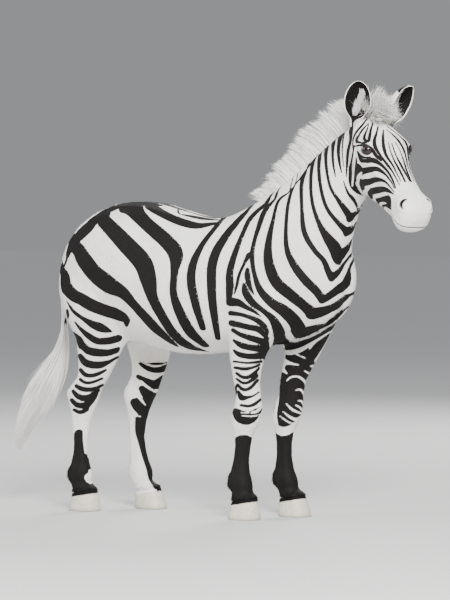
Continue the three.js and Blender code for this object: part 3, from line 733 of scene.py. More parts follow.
for leg in LEG_NAMES:
    side = 1 if leg.endswith("left") else -1
    own_forms = FORE_FORMS if leg.startswith("front") else HIND_FORMS
    for start, end, reach, height in own_forms + FETLOCK_FORMS:
        a, b = [[*(leg_middle(leg, z) + [ahead, side * off]), z] for ahead, off, z in (start, end)]
        points = push(points, normals, a, b, reach, height)
write_points(skin.data, points)
print("forms of the legs:", 2 * len(FORE_FORMS + HIND_FORMS + 2 * FETLOCK_FORMS))

# %% [markdown]
# ## Lids, nostrils and mouth
# An eye looks alive when its lids hug the ball. The skin inside the almond between the lids is pressed
# in behind the eyeball, the skin round it lies on the ball with the lid's thickness, and a groove
# above the upper lid gives the fold. The nostril is a comma pressed into the muzzle with a raised
# wing round it, and the mouth is a fine groove. Measures are in the head's own frame, in millimetres.

# %% Lids
EYE_OPENING = {"long": 33.0, "up": 18.0, "down": 15.5}
LID_ARCH = 2.2  # the power of the lids' curve: higher is flatter in the middle
LID_THICK = {"up": 3.0, "down": 2.2}
LID_FOLD = {"up": (2.2, 9.5, 2.6), "down": (1.2, 8.0, 2.2)}  # depth, distance from the opening, width
SUNK = 4.0  # how far behind the eyeball's surface the skin inside the opening goes
EYE_REACH = 62  # the skin this close to the eye's middle is shaped


def opening_edge(u, v):
    """How far a point of the eye's own plane lies inside the almond between the lids, in millimetres."""
    share = np.clip(np.abs(u) / EYE_OPENING["long"], 0, 1.6)
    lean = 0.1 * u  # the inner corner lies lower than the outer one
    arch = 1 - share**LID_ARCH
    upper = EYE_OPENING["up"] * arch - lean * 0.6
    lower = -EYE_OPENING["down"] * arch - lean * 0.6
    return np.minimum(upper - v, v - lower) / np.sqrt(1 + (0.6 * share) ** 2)


points = read_points(skin.data)
lid_edge = np.full(len(points), -99.0)
for side in (-1, 1):
    axes = eye_frame(side)
    local = (points - eye_middle(side)) @ axes / HEAD_SCALE
    radius = np.linalg.norm(local, axis=1)
    chosen = np.flatnonzero((local[:, 2] > -4) & (radius < EYE_REACH))
    own, far = local[chosen], radius[chosen]
    u, v, out = own.T
    edge = opening_edge(u, v)
    lid_edge[chosen] = np.maximum(lid_edge[chosen], edge)
    on_ball = EYE_RADIUS + np.where(v > 0, LID_THICK["up"], LID_THICK["down"])
    hug = falloff(np.maximum(-edge - 1, 0), 15.0) * np.clip((out + 2) / 8, 0, 1)
    outside = far + hug * (on_ball - far)
    for lid, beyond in (("up", v > -2), ("down", v <= -2)):
        depth, off, wide = LID_FOLD[lid]
        outside -= depth * bell(edge + off, wide) * beyond * (out > 4)
    sunk = np.clip((edge + 0.6) / 1.6, 0, 1) * (out > 0)
    reach = outside + sunk * (EYE_RADIUS - SUNK - outside)
    points[chosen] = eye_middle(side) + (own / far[:, None] * reach[:, None] * HEAD_SCALE) @ axes.T
lid_dark = np.clip((lid_edge + 3.4) / 1.6, 0, 1)
print("lids: the opening is", 2 * EYE_OPENING["long"] * HEAD_SCALE, "m long")

# %% Nostrils
NOSTRIL = {"at": (513, 50, 36), "long": 24.0, "wide": 10.5, "lean": 42.0, "depth": 18.0, "rim": 3.2}
INWARD = (-0.62, -0.74, -0.25)  # the way the hollow runs: back, towards the middle and down
local = in_head(points)
nostril_skin_and_painted_shade = np.zeros(len(points))
lean = np.radians(NOSTRIL["lean"])
for side in (-1, 1):
    x, y, z = NOSTRIL["at"]
    chosen = np.flatnonzero((local[:, 1] * side > 8) & (np.abs(local[:, 0] - x) < 80) & (local[:, 2] > -70))
    ahead, outwards, above = (local[chosen] * [1, side, 1] - [x, 0, z]).T
    along = ahead * np.cos(lean) - above * np.sin(lean)
    across = ahead * np.sin(lean) + above * np.cos(lean)
    across = across - 0.018 * along**2 + 4  # the slit is bent like a comma
    beside = (outwards - y) / 25  # so that the hollow stays off the nose's ridge and the lip
    oval = np.sqrt((along / NOSTRIL["long"]) ** 2 + (across / NOSTRIL["wide"]) ** 2 + beside**2)
    hollow = falloff(np.maximum(oval - 0.35, 0), 0.75) * NOSTRIL["depth"]
    hollow -= bell(oval - 1.45, 0.38) * NOSTRIL["rim"]
    faded = np.clip((outwards - 8) / 16, 0, 1)
    move = (hollow * faded)[:, None] * INWARD * [1, side, 1]
    points[chosen] += move * HEAD_SCALE @ head_axes.T
    # dark inside the nostril: partly its bare skin, partly painted shade of the nostril's opening
    nostril_skin_and_painted_shade[chosen] = np.maximum(nostril_skin_and_painted_shade[chosen], falloff(np.maximum(oval - 0.75, 0), 0.42))

# %% Mouth
MOUTH = {"corner": (474, -48), "front": (580, -30), "sag": 9.0, "wide": 3.2, "depth": 5.5, "lips": 1.2}
local = in_head(points)
share = (local[:, 0] - MOUTH["corner"][0]) / (MOUTH["front"][0] - MOUTH["corner"][0])
line = MOUTH["corner"][1] + share * (MOUTH["front"][1] - MOUTH["corner"][1])
line -= MOUTH["sag"] * 4 * share * (1 - share)
away = np.abs(local[:, 2] - line)
started = np.clip(share / 0.12, 0, 1) * (local[:, 0] < 600)
groove = bell(away, MOUTH["wide"]) * started
lips = bell(away - 9, 6) * started * MOUTH["lips"]
outward = unit(local - np.column_stack([np.minimum(local[:, 0], 520), 0 * away, line]), 1e-9)
points += (outward * (lips - groove * MOUTH["depth"])[:, None]) * HEAD_SCALE @ head_axes.T
# a dark line along the mouth: partly the lips' bare skin, partly painted shade in the slit between the lips
mouth_skin_and_painted_shade = bell(away, 2.6) * started
write_points(skin.data, points)
print("nostrils", NOSTRIL["depth"], "mm deep, mouth", MOUTH["depth"], "mm")

# %% [markdown]
# ## Drawing the stripes
# No two zebras share a pattern, so the stripes are drawn and not made by a formula: each is a stroke
# on the sheet of glass, thick in the middle and thin where it ends. Broad strokes on the haunch sweep
# back, those of the barrel stand upright, those of the neck meet in points over the breast.
# A painted picture would need an image file and would smear on the far side. Strokes stay sharp at any
# distance, and the same list paints the skin, the tufts of hair and the other flank.

# %% Strokes of the trunk and neck
BODY_STROKES = {
    "S1": [(-58.8, 109.5, 0.9), (-57.3, 114.2, 3), (-54.1, 118.6, 4.3), (-49.6, 123.3, 4.3),
        (-44.3, 127.9, 4), (-38.6, 131.1, 3.8), (-31.7, 132.5, 3.4), (-25.4, 132.5, 2.6), (-19, 131.8, 1)],
    "S2": [(-56.2, 115.5, 4.3), (-54.3, 112.9, 5.1), (-51.8, 108.8, 6.4), (-47.7, 103.3, 6.8),
        (-41.3, 98.2, 7.2), (-35.2, 94.6, 4.9), (-30, 89, 3.7), (-21.9, 80.1, 4), (-16.8, 75.4, 2.6),
        (-12.1, 71.8, 0.9)],
    "S3": [(-43, 125, 6), (-34.5, 116, 7.4), (-26.5, 107, 7.8), (-24.2, 100.5, 7), (-22.4, 92.5, 4.7),
        (-17.2, 82.5, 4), (-12.9, 76.4, 3.5), (-8, 72.2, 2.9), (-3.3, 70.4, 1.9), (1.6, 69.3, 0.4)],
    "S4": [(-31.5, 131, 6), (-25, 124, 5.7), (-16.5, 116.5, 6.2), (-12.5, 111, 6.4), (-13, 104, 3.5),
        (-13.5, 94.5, 3.2), (-11, 86.5, 4.2), (-6, 77.5, 4.1), (0, 72, 1.9)],
    "S5": [(-22.5, 131, 2.6), (-14.5, 126.5, 3), (-8, 124, 3.1), (-3, 123, 2.5), (3.5, 124, 1.3)],
    "S5b": [(-10.5, 128, 0.4), (-5.5, 127, 1.3), (0, 126, 1.4), (6, 125.5, 0.4)],
    "S6": [(6.5, 125, 1.3), (-1.5, 114.5, 2.3), (-5, 107, 3.4), (-6, 100.5, 3.8), (-4, 89.5, 3.6),
        (-1, 79.5, 2.6)],
    "S7": [(17.5, 129, 1.7), (10.5, 121, 2.8), (5, 112.5, 3.8), (3, 106, 4.1), (3, 92.5, 3.8), (4.5, 81, 2.9),
        (5.5, 75, 2.1)],
    "S8": [(26, 132.5, 1.3), (19.5, 126.5, 1.9), (16, 119.5, 1.8), (12.5, 110.5, 2.6), (10.5, 103, 3.1),
        (10.5, 97.5, 3.4), (10, 90, 2.1)],
    "S8b": [(18.5, 110.5, 2.1), (16.5, 106.5, 1.3), (14.5, 102, 1.3), (13.5, 97.5, 1.3), (12.5, 94, 0.6)],
    "loop": [(18, 104.5, 1.5), (18, 102, 2.6), (19, 97.5, 1.9), (21, 93.5, 0.4)],
    "N8": [(29.5, 134, 0.9), (25.5, 129.5, 2), (23, 123, 2), (21, 116.5, 1.7), (20, 110.5, 2.1),
        (21, 102.5, 1.9), (23.5, 95.5, 3), (28, 90.5, 3.8), (34, 86.5, 5.1), (38, 82.5, 5.5), (40.5, 78, 6)],
    "N9": [(16.5, 98, 1.3), (17, 95, 3), (20, 90.5, 3), (24.5, 87, 2.2), (29, 83, 3.4), (31, 79, 4.7),
        (32.5, 74.5, 5.1), (36.5, 72, 3.4)],
    "N7": [(35.5, 137, 0.5), (31.5, 134, 1.1), (29, 125.5, 1.6), (27, 115.5, 3), (27, 108, 4.2),
        (30, 99.5, 4.9), (36.5, 93.5, 4.8), (42, 89, 4.3), (46, 85.5, 5.1)],
    "N6": [(38.5, 141, 0.4), (36, 135, 1.3), (34.5, 123, 1.6), (35, 112.5, 2.3), (38, 106, 3.3),
        (43, 99.5, 3.7), (47.5, 95, 3.6), (50, 91.5, 3.4)],
    "N5": [(43.5, 147.4, 0.5), (42.4, 145.3, 1.4), (41.2, 141, 1.6), (41.2, 131.6, 1.5), (42.4, 120.1, 2.3),
        (46.7, 112.5, 2.2), (50.7, 108, 2.3), (52.4, 103.9, 2.8), (53.9, 101, 3.2)],
    "N4": [(47.5, 152.5, 0.6), (46.1, 150, 1.2), (45.1, 143.2, 1.4), (45.8, 132.5, 1.5), (49, 123.1, 2.2),
        (52.6, 117.2, 4.3), (55.6, 112.9, 5.5), (56.6, 109.5, 4.7)],
    "N3": [(49.5, 157, 1.3), (48.5, 147.5, 1.4), (50, 136, 1.5), (52.5, 129.5, 1.6), (57, 124, 2.1),
        (60.5, 120.5, 3.2)],
    "N2": [(52.8, 159.6, 1.5), (52, 156.8, 1.4), (51.5, 150.8, 1.3), (53.5, 139.3, 1.2), (56.9, 133.8, 1.8),
        (60.1, 129.3, 2.8), (62, 126.5, 3.2)],
    "N1": [(59, 142, 0.3), (61, 137, 1.1), (63.3, 134.2, 1.5), (64.6, 131.8, 1.0), (65.2, 129.6, 0.3)],
    "M1": [(57.1, 164.9, 2.6), (55.4, 161, 1.9), (54.5, 155.9, 1.2), (54.6, 150, 1), (55.6, 144, 0.4)],
    "M2": [(59.4, 166.2, 2.3), (58, 162.3, 1.7), (56.9, 155.9, 1.4), (57.2, 150.8, 1.2), (58.2, 145.7, 0.4)],
    "M3": [(59.7, 164, 0.5), (58.8, 159.3, 0.6), (58.6, 152.5, 0.4), (59.2, 148.3, 0.3)],
    "M4": [(62, 167.2, 2.6), (62.2, 163.2, 2), (62, 159.3, 1.4), (61.1, 155.1, 1.3), (60.6, 150, 1.1),
        (60.2, 144, 0.4)],
    "M5": [(63.5, 156.8, 0.6), (62.6, 151.2, 0.9), (62, 146.6, 1.3), (62, 142.3, 1.7), (63.1, 139.5, 2),
        (65, 137.6, 1.6), (67.3, 136, 0.5)],
    "crest": [(62, 168.5, 1.4), (56.9, 164.5, 1.7), (51.8, 158.2, 1.4), (48.6, 154, 1), (44.5, 148.7, 0.8),
        (40.5, 143.2, 0.6), (35.8, 137.3, 0.3)],
    "D1": [(-58.6, 87.5, 0.3), (-58.6, 85.6, 1.5), (-58.6, 83.1, 0.3)],
    "D2": [(-59.4, 83.9, 0.3), (-59.3, 81.4, 1.5), (-59, 78.8, 0.3)],
    "far_arm": [(53.3, 77.1, 0.4), (50.5, 73.7, 3.4), (47.5, 69.9, 4.7), (45, 66.5, 3.4)],
}
BREAST_ARMS = {
    "N8": [(40.5, 77, 4.7), (45.5, 78.5, 3.4), (50, 80.5, 2.6), (56.5, 85, 1.8), (61.5, 89, 0.6)],
    "N9": [(36.5, 72, 3.4), (43, 73.5, 2.8), (48.5, 76.5, 2.2), (54.5, 80.5, 1.7), (59.5, 85, 0.5)],
    "N7": [(46, 85.5, 5.1), (50.5, 86.5, 4), (56, 89, 2.7), (59.5, 91.5, 2.1), (62, 94, 0.9)],
    "N6": [(50, 91.5, 3.4), (53.5, 93.5, 3.2), (58.5, 97.5, 3.1), (61, 101.5, 2.3), (61.5, 105.5, 0.9)],
    "N5": [(54, 101, 3.2), (57, 103.5, 2.1), (59, 106.5, 1.1), (61.5, 110, 0.7)],
    "N4": [(56.5, 109.5, 4.7), (59.5, 112, 2.8), (62, 115.5, 1.3), (63.5, 118.5, 0.6)],
    "N3": [(60.5, 120.5, 3.2), (63.5, 122.5, 1.7), (65, 125.5, 0.6)],
    "N2": [(62, 126.5, 3.2), (64, 128, 1.7), (65, 129, 0.9)],
}
HAUNCH_STROKES = {
    "S9": [(-60.5, 101.8, 3.4), (-59.2, 97.1, 4.5), (-56.5, 93.7, 4.9), (-52.8, 91.8, 5.1), (-48, 89, 5.3),
        (-41, 86.5, 4.9), (-37, 85, 4.5), (-34, 83.5, 3.4), (-33.5, 80.5, 1.3)],
    "S10": [(-59, 91, 0.4), (-56, 86.5, 1.4), (-52, 83.5, 1.7), (-48, 81, 3.2), (-44, 79.5, 3.8),
        (-40, 78, 0.9)],
    "S11": [(-55.5, 82, 0.6), (-53, 79, 1.5), (-49.5, 76, 2.6), (-46, 74, 2.9), (-41, 74, 3.1),
        (-37, 75, 3.1)],
    "S12": [(-53.5, 73.5, 2.8), (-50, 70, 3.2), (-45.5, 69, 3.4), (-41, 69, 2.9), (-37.5, 70, 2.3)],
}
# Round the buttocks, seen from behind: (outwards from the middle, up, width)
REAR_STROKES = [
    [(3.5, 96, 0.5), (8, 95, 2.2), (12, 93, 2.6), (15.5, 90.5, 1.8), (18, 87.5, 0.4)],
    [(4, 88, 0.4), (8, 87, 1.9), (12, 85.5, 2.3), (15.5, 83.5, 1.6), (17.5, 81, 0.4)],
    [(5, 80, 0.4), (9, 79.5, 1.7), (13, 78.5, 1.8), (16, 77, 0.5)],
    [(6, 72.5, 0.4), (9.5, 72, 1.5), (13, 71.5, 1.5), (15.5, 70.5, 0.4)],
]
# White lines that are drawn over the black of breast and arm
BODY_WHITE = [
    [(35.2, 78.6, 1.9), (35.8, 76.3, 2.3), (37.5, 74.4, 1.1), (39.4, 74, 0.6)],
    [(29.2, 69.4, 0.9), (34.6, 69, 1.7), (37.6, 69.2, 1.9), (41.2, 70.4, 1.6), (44, 72, 1.2),
     (48.3, 74.6, 0.9), (52.8, 77.5, 0.5)],
]

# %% [markdown]
# ## From the glass to the coat
# The painter's eye, a point of the stroke and the coat lie on one straight line, so a ray finds where the
# stroke lands. Its two edges are cast as well, which gives the true width on a slanting flank.
# What is kept is a chain of points in space, each with half a width.

# %% Cast strokes on the skin
WIDEST = 2.2  # how much wider than on the glass a stroke may land
HAIRLINE_WIDTH = 0.2  # centimetres: no stroke is thinner
bpy.context.view_layer.update()
tree = BVHTree.FromObject(skin, bpy.context.evaluated_depsgraph_get())


def flowing(points, step):
    """A smooth line through the points, as rows about a step apart."""
    points = np.asarray(points, float)
    gap = np.sqrt(np.linalg.norm(np.diff(points[:, :-1], axis=0), axis=1)) + 1e-9
    slope = np.diff(points, axis=0) / gap[:, None]
    inner = (slope[:-1] * gap[1:, None] + slope[1:] * gap[:-1, None]) / (gap[1:] + gap[:-1])[:, None]
    slopes = np.vstack([slope[:1], inner, slope[-1:]])
    rows = []
    for i, g in enumerate(gap):
        count = max(1, int(np.ceil(g * g / step)))
        t = (np.arange(count) / count)[:, None]
        a, b = points[i], points[i + 1]
        rows.append(
            (2 * t**3 - 3 * t**2 + 1) * a
            + (t**3 - 2 * t**2 + t) * g * slopes[i]
            + (3 * t**2 - 2 * t**3) * b
            + (t**3 - t**2) * g * slopes[i + 1]
        )
    return np.vstack([*rows, points[-1:]])


def land(across, up, depth=DISTANCE):
    """The skin behind a point of the sheet, or nearest to the ray that misses it; how far; whether seen."""
    way = through_sheet(across, up) - painter
    way /= np.linalg.norm(way)
    hit, _, _, far = tree.ray_cast(Vector(painter), Vector(way))
    if hit is not None:
        return np.array(hit), far, True
    return np.array(tree.find_nearest(Vector(painter + way * depth))[0]), depth, False


def cast_stroke(stroke, step=1.2):
    """A stroke of the sheet as rows of (x, y, z, half width) on the skin."""
    rows = flowing(stroke, step)
    depth = next((far for far, seen in (land(*row[:2])[1:] for row in rows) if seen), DISTANCE)
    out = []
    for (across, up, width), way in zip(rows, np.gradient(rows[:, :2], axis=0)):
        width = max(width, HAIRLINE_WIDTH)
        place, depth, seen = land(across, up, depth)
        side = np.array([-way[1], way[0]]) / max(np.hypot(*way), 1e-9) * width / 2
        edges = [land(across + sign * side[0], up + sign * side[1], depth) for sign in (1, -1)]
        reach = [np.linalg.norm(edge - place) for edge, _, edge_seen in edges if edge_seen]
        flat = width / 200
        out.append([*place, np.clip(np.mean(reach) if reach and seen else flat, flat, flat * WIDEST)])
    out = np.array(out)
    if len(out) > 4:
        out[1:-1, 3] = (out[:-2, 3] + 2 * out[1:-1, 3] + out[2:, 3]) / 4
    return out


def snapped(rows):
    """The rows with their places moved on to the skin."""
    out = rows.copy()
    for row in out:
        row[:3] = tree.find_nearest(Vector(row[:3]))[0]
    return out


print("the skin is", round(land(0, 100)[1], 2), "m from the painter")

# %% [markdown]
# ## The flank that the painter can't see
# A zebra's two flanks are alike but never the same. The left one takes the strokes of the right one,
# mirrored across the body's middle plane, moved along with its legs and set back on the skin.
# Stripes that end at the top are carried on until they meet in the middle of the back or under the mane,
# those of the neck bend round the breast, and those of the haunch run on round the buttock to the tail.
# From there on short strokes of their own are drawn as seen from straight behind.

# %% The other flank
# The neck leans to the right: how far its middle lies from the body's, by the place along it
NECK_PLACE = [0.944, 1.016, 1.079, 1.139, 1.199, 1.244]
NECK_LEAN = [-0.003, -0.008, -0.016, -0.026, -0.036, -0.044]
# The left legs stand further forward: the shift that their flesh has at each height
FORE_HEIGHTS, FORE_SHIFT = [0.70, 0.83, 0.94, 1.06], [0.11, 0.079, 0.042, 0.0]
HIND_HEIGHTS, HIND_SHIFT = [0.68, 0.74, 0.87, 1.04, 1.19], [0.097, 0.073, 0.048, 0.024, 0.0]
TO_TAIL = {"S1": 0.12, "S2": 0.2, "S9": 0.19, "S12": 0.1}  # run on round the buttock, in metres
NO_TWIN = {"crest", "far_arm", "D1", "D2"}  # drawn for one side alone
CREST_WAY = np.array([0.86, 0.0, 0.51])  # the way that the top of the neck runs
RUN_STEP = 0.008
# Directions that a stripe bends to as it runs on, and for the top how far it runs and how soon it bends
TAILWARDS = (-0.5, 1.0, 0.15)
TO_TOP, TOP_FAR, TOP_TURN = (-0.3, -0.75, 0.7), 0.2, 0.4
LYING = 0.6  # a stripe whose way has more than this share of the crest's lies along it
BREAST_STEP, BREAST_ROUNDS = 0.015, 14  # of the arms over the breast, and how often their bend is eased


def neck_lean(x, z):
    """How far the middle of neck and head lies to the left of the body's middle plane."""
    return np.interp(0.92 * x + 0.39 * z, NECK_PLACE, NECK_LEAN, left=0.0)


def off_middle(rows):
    """How far to the left of its own middle each row lies."""
    return rows[:, 1] - MIDDLE - neck_lean(rows[:, 0], rows[:, 2])


def to_other_flank(rows):
    """A chain on the right flank as the chain that mirrors it on the left one."""
    out = rows.copy()
    x, z = rows[:, 0], rows[:, 2]
    hind = np.clip((-0.1 - x) / 0.15, 0, 1)
    shift = hind * np.interp(z, HIND_HEIGHTS, HIND_SHIFT)
    shift += (1 - hind) * np.clip((x + 0.1) / 0.15, 0, 1) * np.interp(z, FORE_HEIGHTS, FORE_SHIFT)
    out[:, 0] = x + shift
    out[:, 1] = 2 * (MIDDLE + neck_lean(x, z)) - rows[:, 1]
    return snapped(out)


def run_on(chain, far, toward, turn=0.12):
    """Carries the start of a chain on over the skin, bending towards a direction, until it ends in a point."""
    rows = [chain[0]]
    way = chain[0, :3] - chain[4, :3]
    steps = int(far / RUN_STEP)
    for k in range(steps):
        way = (1 - turn) * way / np.linalg.norm(way) + turn * np.array(toward)
        ahead = rows[-1][:3] + RUN_STEP * way / np.linalg.norm(way)
        place = np.array(tree.find_nearest(Vector(ahead))[0])
        way = place - rows[-1][:3] + 1e-9
        rows.append([*place, chain[0, 3] * (1 - ((k + 1) / steps) ** 2)])
    return np.vstack([rows[:0:-1], chain])


def starts_at_top(name, stroke):
    """Whether a stroke starts where the painter sees the back or the crest end."""
    across, up, _ = stroke[0]
    return name not in {*TO_TAIL, *NO_TWIN} and up > 115 and not land(across - 1.0, up + 6.0)[2]


flank_strokes = {**BODY_STROKES, **HAUNCH_STROKES}
TOP_STROKES = {name for name, stroke in flank_strokes.items() if starts_at_top(name, stroke)}


def over_the_top(chain, side):
    """A stripe carried on to the middle of the back, or under the mane."""
    longer = run_on(chain, TOP_FAR, np.array(TO_TOP) * [1, side, 1], TOP_TURN)
    short_of_middle = off_middle(longer) * side > 0
    short_of_middle[-len(chain):] = True
    return longer[short_of_middle]


def far_side(name, chain):
    """The twin of a chain on the left flank, without the part that lies along the crest."""
    other = to_other_flank(chain)
    if name not in TOP_STROKES:
        return other
    way = np.gradient(other[:, :3], axis=0)
    lying = np.abs(way @ CREST_WAY) / (np.linalg.norm(way, axis=1) + 1e-9)
    upright = np.flatnonzero((lying < LYING) & (off_middle(other) > 0.03))
    first = upright[0] if len(upright) and upright[0] < len(other) - 6 else 0
    return over_the_top(other[first:], 1)


def over_the_breast(name, main):
    """A neck stripe with the arm that crosses the breast and climbs the other side."""
    arm = cast_stroke(BREAST_ARMS[name])
    other = far_side(name, main)
    other = other[other[:, 2] > arm[-1, 2] + 0.05][::-1]
    way_up = np.vstack([arm[::4], arm[-1:]])
    bridge = flowing(np.vstack([way_up, other[::4]]), BREAST_STEP)
    bend = len(flowing(way_up, BREAST_STEP)) - 2
    for _ in range(BREAST_ROUNDS):
        between = (bridge[bend - 1 : -2, :3] + bridge[bend + 1 :, :3]) / 2
        bridge[bend:-1, :3] += 0.5 * (between - bridge[bend:-1, :3])
    return np.vstack([main, snapped(bridge)])


def rear_stroke(stroke, side):
    """A stroke seen from straight behind, on the right or the left buttock."""
    rows = []
    for outward, up, width in flowing(stroke, 1.0):
        start = Vector((-3.0, MIDDLE + side * outward / 100, up / 100))
        rows.append([*tree.ray_cast(start, Vector((1, 0, 0)))[0], width / 200])
    return np.array(rows)


chains = []
for name, stroke in flank_strokes.items():
    chain = cast_stroke(stroke)
    if name in TO_TAIL:
        chain = run_on(chain, TO_TAIL[name], TAILWARDS)
    near = over_the_top(chain, -1) if name in TOP_STROKES else chain
    chains.append(near)
    if name in BREAST_ARMS:
        chains.append(over_the_breast(name, chain))
    elif name not in NO_TWIN:
        chains.append(far_side(name, chain))
chains += [rear_stroke(stroke, side) for stroke in REAR_STROKES for side in (-1, 1)]
print("chains on trunk and neck:", len(chains), "of which over the top:", len(TOP_STROKES))

# %% [markdown]
# ## How black is each point
# For every point of the skin the distance to each chain is taken, less the chain's half width there.
# The result is a number that is 0 exactly on a stripe's edge, positive in the black and negative in
# the white, so the edge stays sharp between the points of the mesh as well.

# %% Distance to the chains
FAR = 0.02  # beyond this far from an edge the number stays the same
BRUSH_SPREAD = 0.0006  # the brush spreads a little on the coat


def stroke_field(places, chain, field):
    """Raises field, in place, where the places lie in a chain of (…, half width)."""
    dims = chain.shape[1] - 1
    margin = chain[:, -1].max() + FAR
    low, high = chain[:, :dims].min(0) - margin, chain[:, :dims].max(0) + margin
    near = np.flatnonzero(np.all((places > low) & (places < high), axis=1))
    if not len(near):
        return
    own = places[near]
    best = np.full(len(near), -FAR)
    for start, end in zip(chain[:-1], chain[1:]):
        way = end[:dims] - start[:dims]
        share = np.clip((own - start[:dims]) @ way / max(way @ way, 1e-12), 0, 1)
        away = own - start[:dims] - share[:, None] * way
        half_width = start[-1] + share * (end[-1] - start[-1]) + BRUSH_SPREAD
        best = np.maximum(best, half_width - np.sqrt((away**2).sum(1)))
    field[near] = np.maximum(field[near], best)


def painted(places, chain_list):
    field = np.full(len(places), -FAR)
    for chain in chain_list:
        stroke_field(places, chain, field)
    return field

# %% Along the back
# The lower edge of the dark line over croup and back, drawn on the sheet as the strokes are
BACK_EDGE = [(-58, 111.5), (-53.5, 117), (-50, 120.5), (-46, 125), (-40, 129), (-34, 130), (-28, 131),
             (-20, 132), (-14, 132.3), (-6, 131)]
BACK_FROM, BACK_TO, BACK_STEPS = -0.80, 0.12, 60


def back_line():
    """A chain along the top of the back, as wide as the drawn edge is far from the middle."""
    edge = np.array([land(*row[:2])[0] for row in flowing([(*p, 1) for p in BACK_EDGE], 2)])
    rows = []
    for x in np.linspace(BACK_FROM, BACK_TO, BACK_STEPS):
        top = tree.ray_cast(Vector((x, MIDDLE, 3)), Vector((0, 0, -1)))[0]
        if top is None:
            continue
        nearest = edge[np.abs(edge[:, 0] - x).argmin()]
        reach = np.linalg.norm(nearest - top) * np.interp(x, [-0.38, -0.25, 0.12], [1, 0.35, 0.25])
        rows.append([*top, np.clip(reach, 0.006, 0.03)])
    rows = np.array(rows)
    rows[3:-3, 3] = np.convolve(rows[:, 3], np.ones(7) / 7, "valid")
    rows[:, 3] *= np.interp(rows[:, 0], [BACK_FROM, -0.66, 0.02, BACK_TO], [0.12, 1, 1, 0.3])
    return rows


chains.append(back_line())
black = painted(points, chains)
print("black on the trunk so far:", round(float((black > 0).mean()), 3))

# %% [markdown]
# ## Rings on the legs
# Leg stripes run round the leg like rings, so they are not cast but passed straight through it: a point
# at the back of the shin gets what is drawn in front of it. White marks are drawn over the black.
# The far legs show their inner side on the sheet. Their hidden outer side takes the drawing of the
# near legs, mirrored, and the two blend where the leg turns away.

# %% Strokes of the legs
NEAR_FORELEG = [
    [(11.2, 90.6, 3.8), (14.2, 90.2, 3.2), (17.6, 88.2, 2), (21, 86.4, 1.3), (24, 84.2, 0.4)],
    [(10.8, 85.8, 2.1), (15.2, 85.2, 1.7), (18.6, 84.2, 1.8), (22, 82.8, 2.3), (25.4, 80, 2.3),
     (26.8, 77.2, 1.3)],
    [(11.2, 81.6, 2.6), (18.6, 79.8, 2.5), (22.8, 78.8, 2.6), (26.6, 75, 1.7)],
    [(11.8, 78.6, 1.7), (15.2, 76.6, 2), (19.4, 75.2, 2.6), (25.8, 73.2, 3)],
    [(12.2, 74.2, 1.1), (15.2, 72.2, 2.5), (20.2, 71, 2.7), (26.2, 70.6, 3)],
    [(12.2, 70, 0.9), (14.2, 68.4, 2.1), (18.6, 67.4, 2.4), (25, 67.8, 3)],
    [(25.8, 76.2, 1.3), (26.6, 71.6, 1.7), (25.4, 66.4, 1.3)],
    [(12.2, 65.2, 0.9), (18.2, 64.6, 0.9), (24, 65.2, 1.2)],
    [(12.6, 62.6, 1.1), (16.8, 62, 1.5), (20.2, 62.6, 1.2), (23.2, 63.8, 0.9)],
    [(13.4, 60.2, 1.2), (16.4, 58.4, 1.4), (19, 58.8, 1.7), (21.6, 60.8, 1.4), (23, 62.4, 0.9)],
    [(13.4, 57.8, 0.9), (16.4, 56, 1.2), (19, 56.6, 1.3), (22, 59.2, 1.7)],
    [(13.8, 55.2, 1.3), (16.4, 53.2, 1.4), (19, 53.8, 1.4), (22.4, 57.2, 1.3)],
    [(14.2, 52.2, 1.3), (15.6, 49.8, 2.6), (17.6, 49.8, 1.5), (20.6, 50.6, 0.8), (23, 52.2, 0.7)],
    [(15.2, 46.6, 1.1), (18.6, 46.2, 1.2), (21, 47, 1.4), (23.6, 49, 1.1)],
    [(13, 43.8, 3), (15.2, 41.8, 5.5), (18.2, 41, 5.5), (21, 42.6, 4.3), (23.6, 45.2, 1.7)],
    [(12.4, 49.4, 1.3), (13, 52, 1.1), (13.2, 54.6, 0.9)],
    [(16.4, 28.2, 11.5), (16.4, 18.8, 11.9), (15.6, 6.8, 14.5)],
]
NEAR_FORELEG_WHITE = [
    [(15.2, 43.6, 0.4), (18.6, 43.4, 0.4)],
    [(19.8, 43.4, 0.7), (22.2, 44, 0.9), (24, 45.8, 0.7)],
    [(15.6, 42.2, 0.4), (19.4, 41.8, 0.5), (23.6, 42.6, 0.4)],
    [(12.6, 38.8, 1.3), (14.2, 36.4, 3), (16.6, 35.6, 3.3), (19.4, 36.6, 3.4), (22.2, 39, 1.7)],
]
NEAR_HIND_LEG = [
    [(-53.2, 67.6, 2.1), (-51, 64.8, 3.1), (-48, 63.8, 3.2), (-44.6, 63.8, 3), (-41.4, 64.8, 1.9)],
    [(-40.6, 65.2, 1.5), (-37, 67.2, 0.9)],
    [(-53, 61.6, 1.7), (-51, 59.6, 1.9), (-48.4, 59.2, 1.7), (-45.4, 60, 1.6), (-42.2, 61.6, 0.9)],
    [(-53.2, 57.6, 1.3), (-51, 56.2, 1.3), (-48, 56.4, 1.2), (-43.8, 58, 1)],
    [(-54.8, 54.8, 1.7), (-52.6, 53.6, 2.1), (-50, 53.2, 2), (-47, 53.6, 1.7), (-43.6, 55.2, 1.1)],
    [(-56.2, 52.6, 1.5), (-54.4, 50.6, 2.3), (-51.4, 49.6, 2.6), (-48.4, 50.6, 2.3), (-45.4, 53, 1.5)],
    [(-56.8, 48.8, 1.7), (-54.6, 46.8, 2.3), (-51.4, 46.6, 2.6), (-48.4, 48.2, 3), (-46, 50.6, 1.9)],
    [(-55.8, 44.6, 1.3), (-53.4, 43.6, 1.7), (-51, 44.4, 1.9), (-48.4, 46.8, 1.7)],
    [(-53.6, 34, 4.5), (-53.2, 27.2, 5.5), (-53.4, 20.8, 7.7), (-54.4, 15.4, 9.4), (-51.4, 10.6, 11.9),
     (-51.4, 6, 12.8)],
    [(-50.2, 23.8, 1.3), (-50, 20.4, 2.6), (-48.8, 20.4, 1.7)],
]
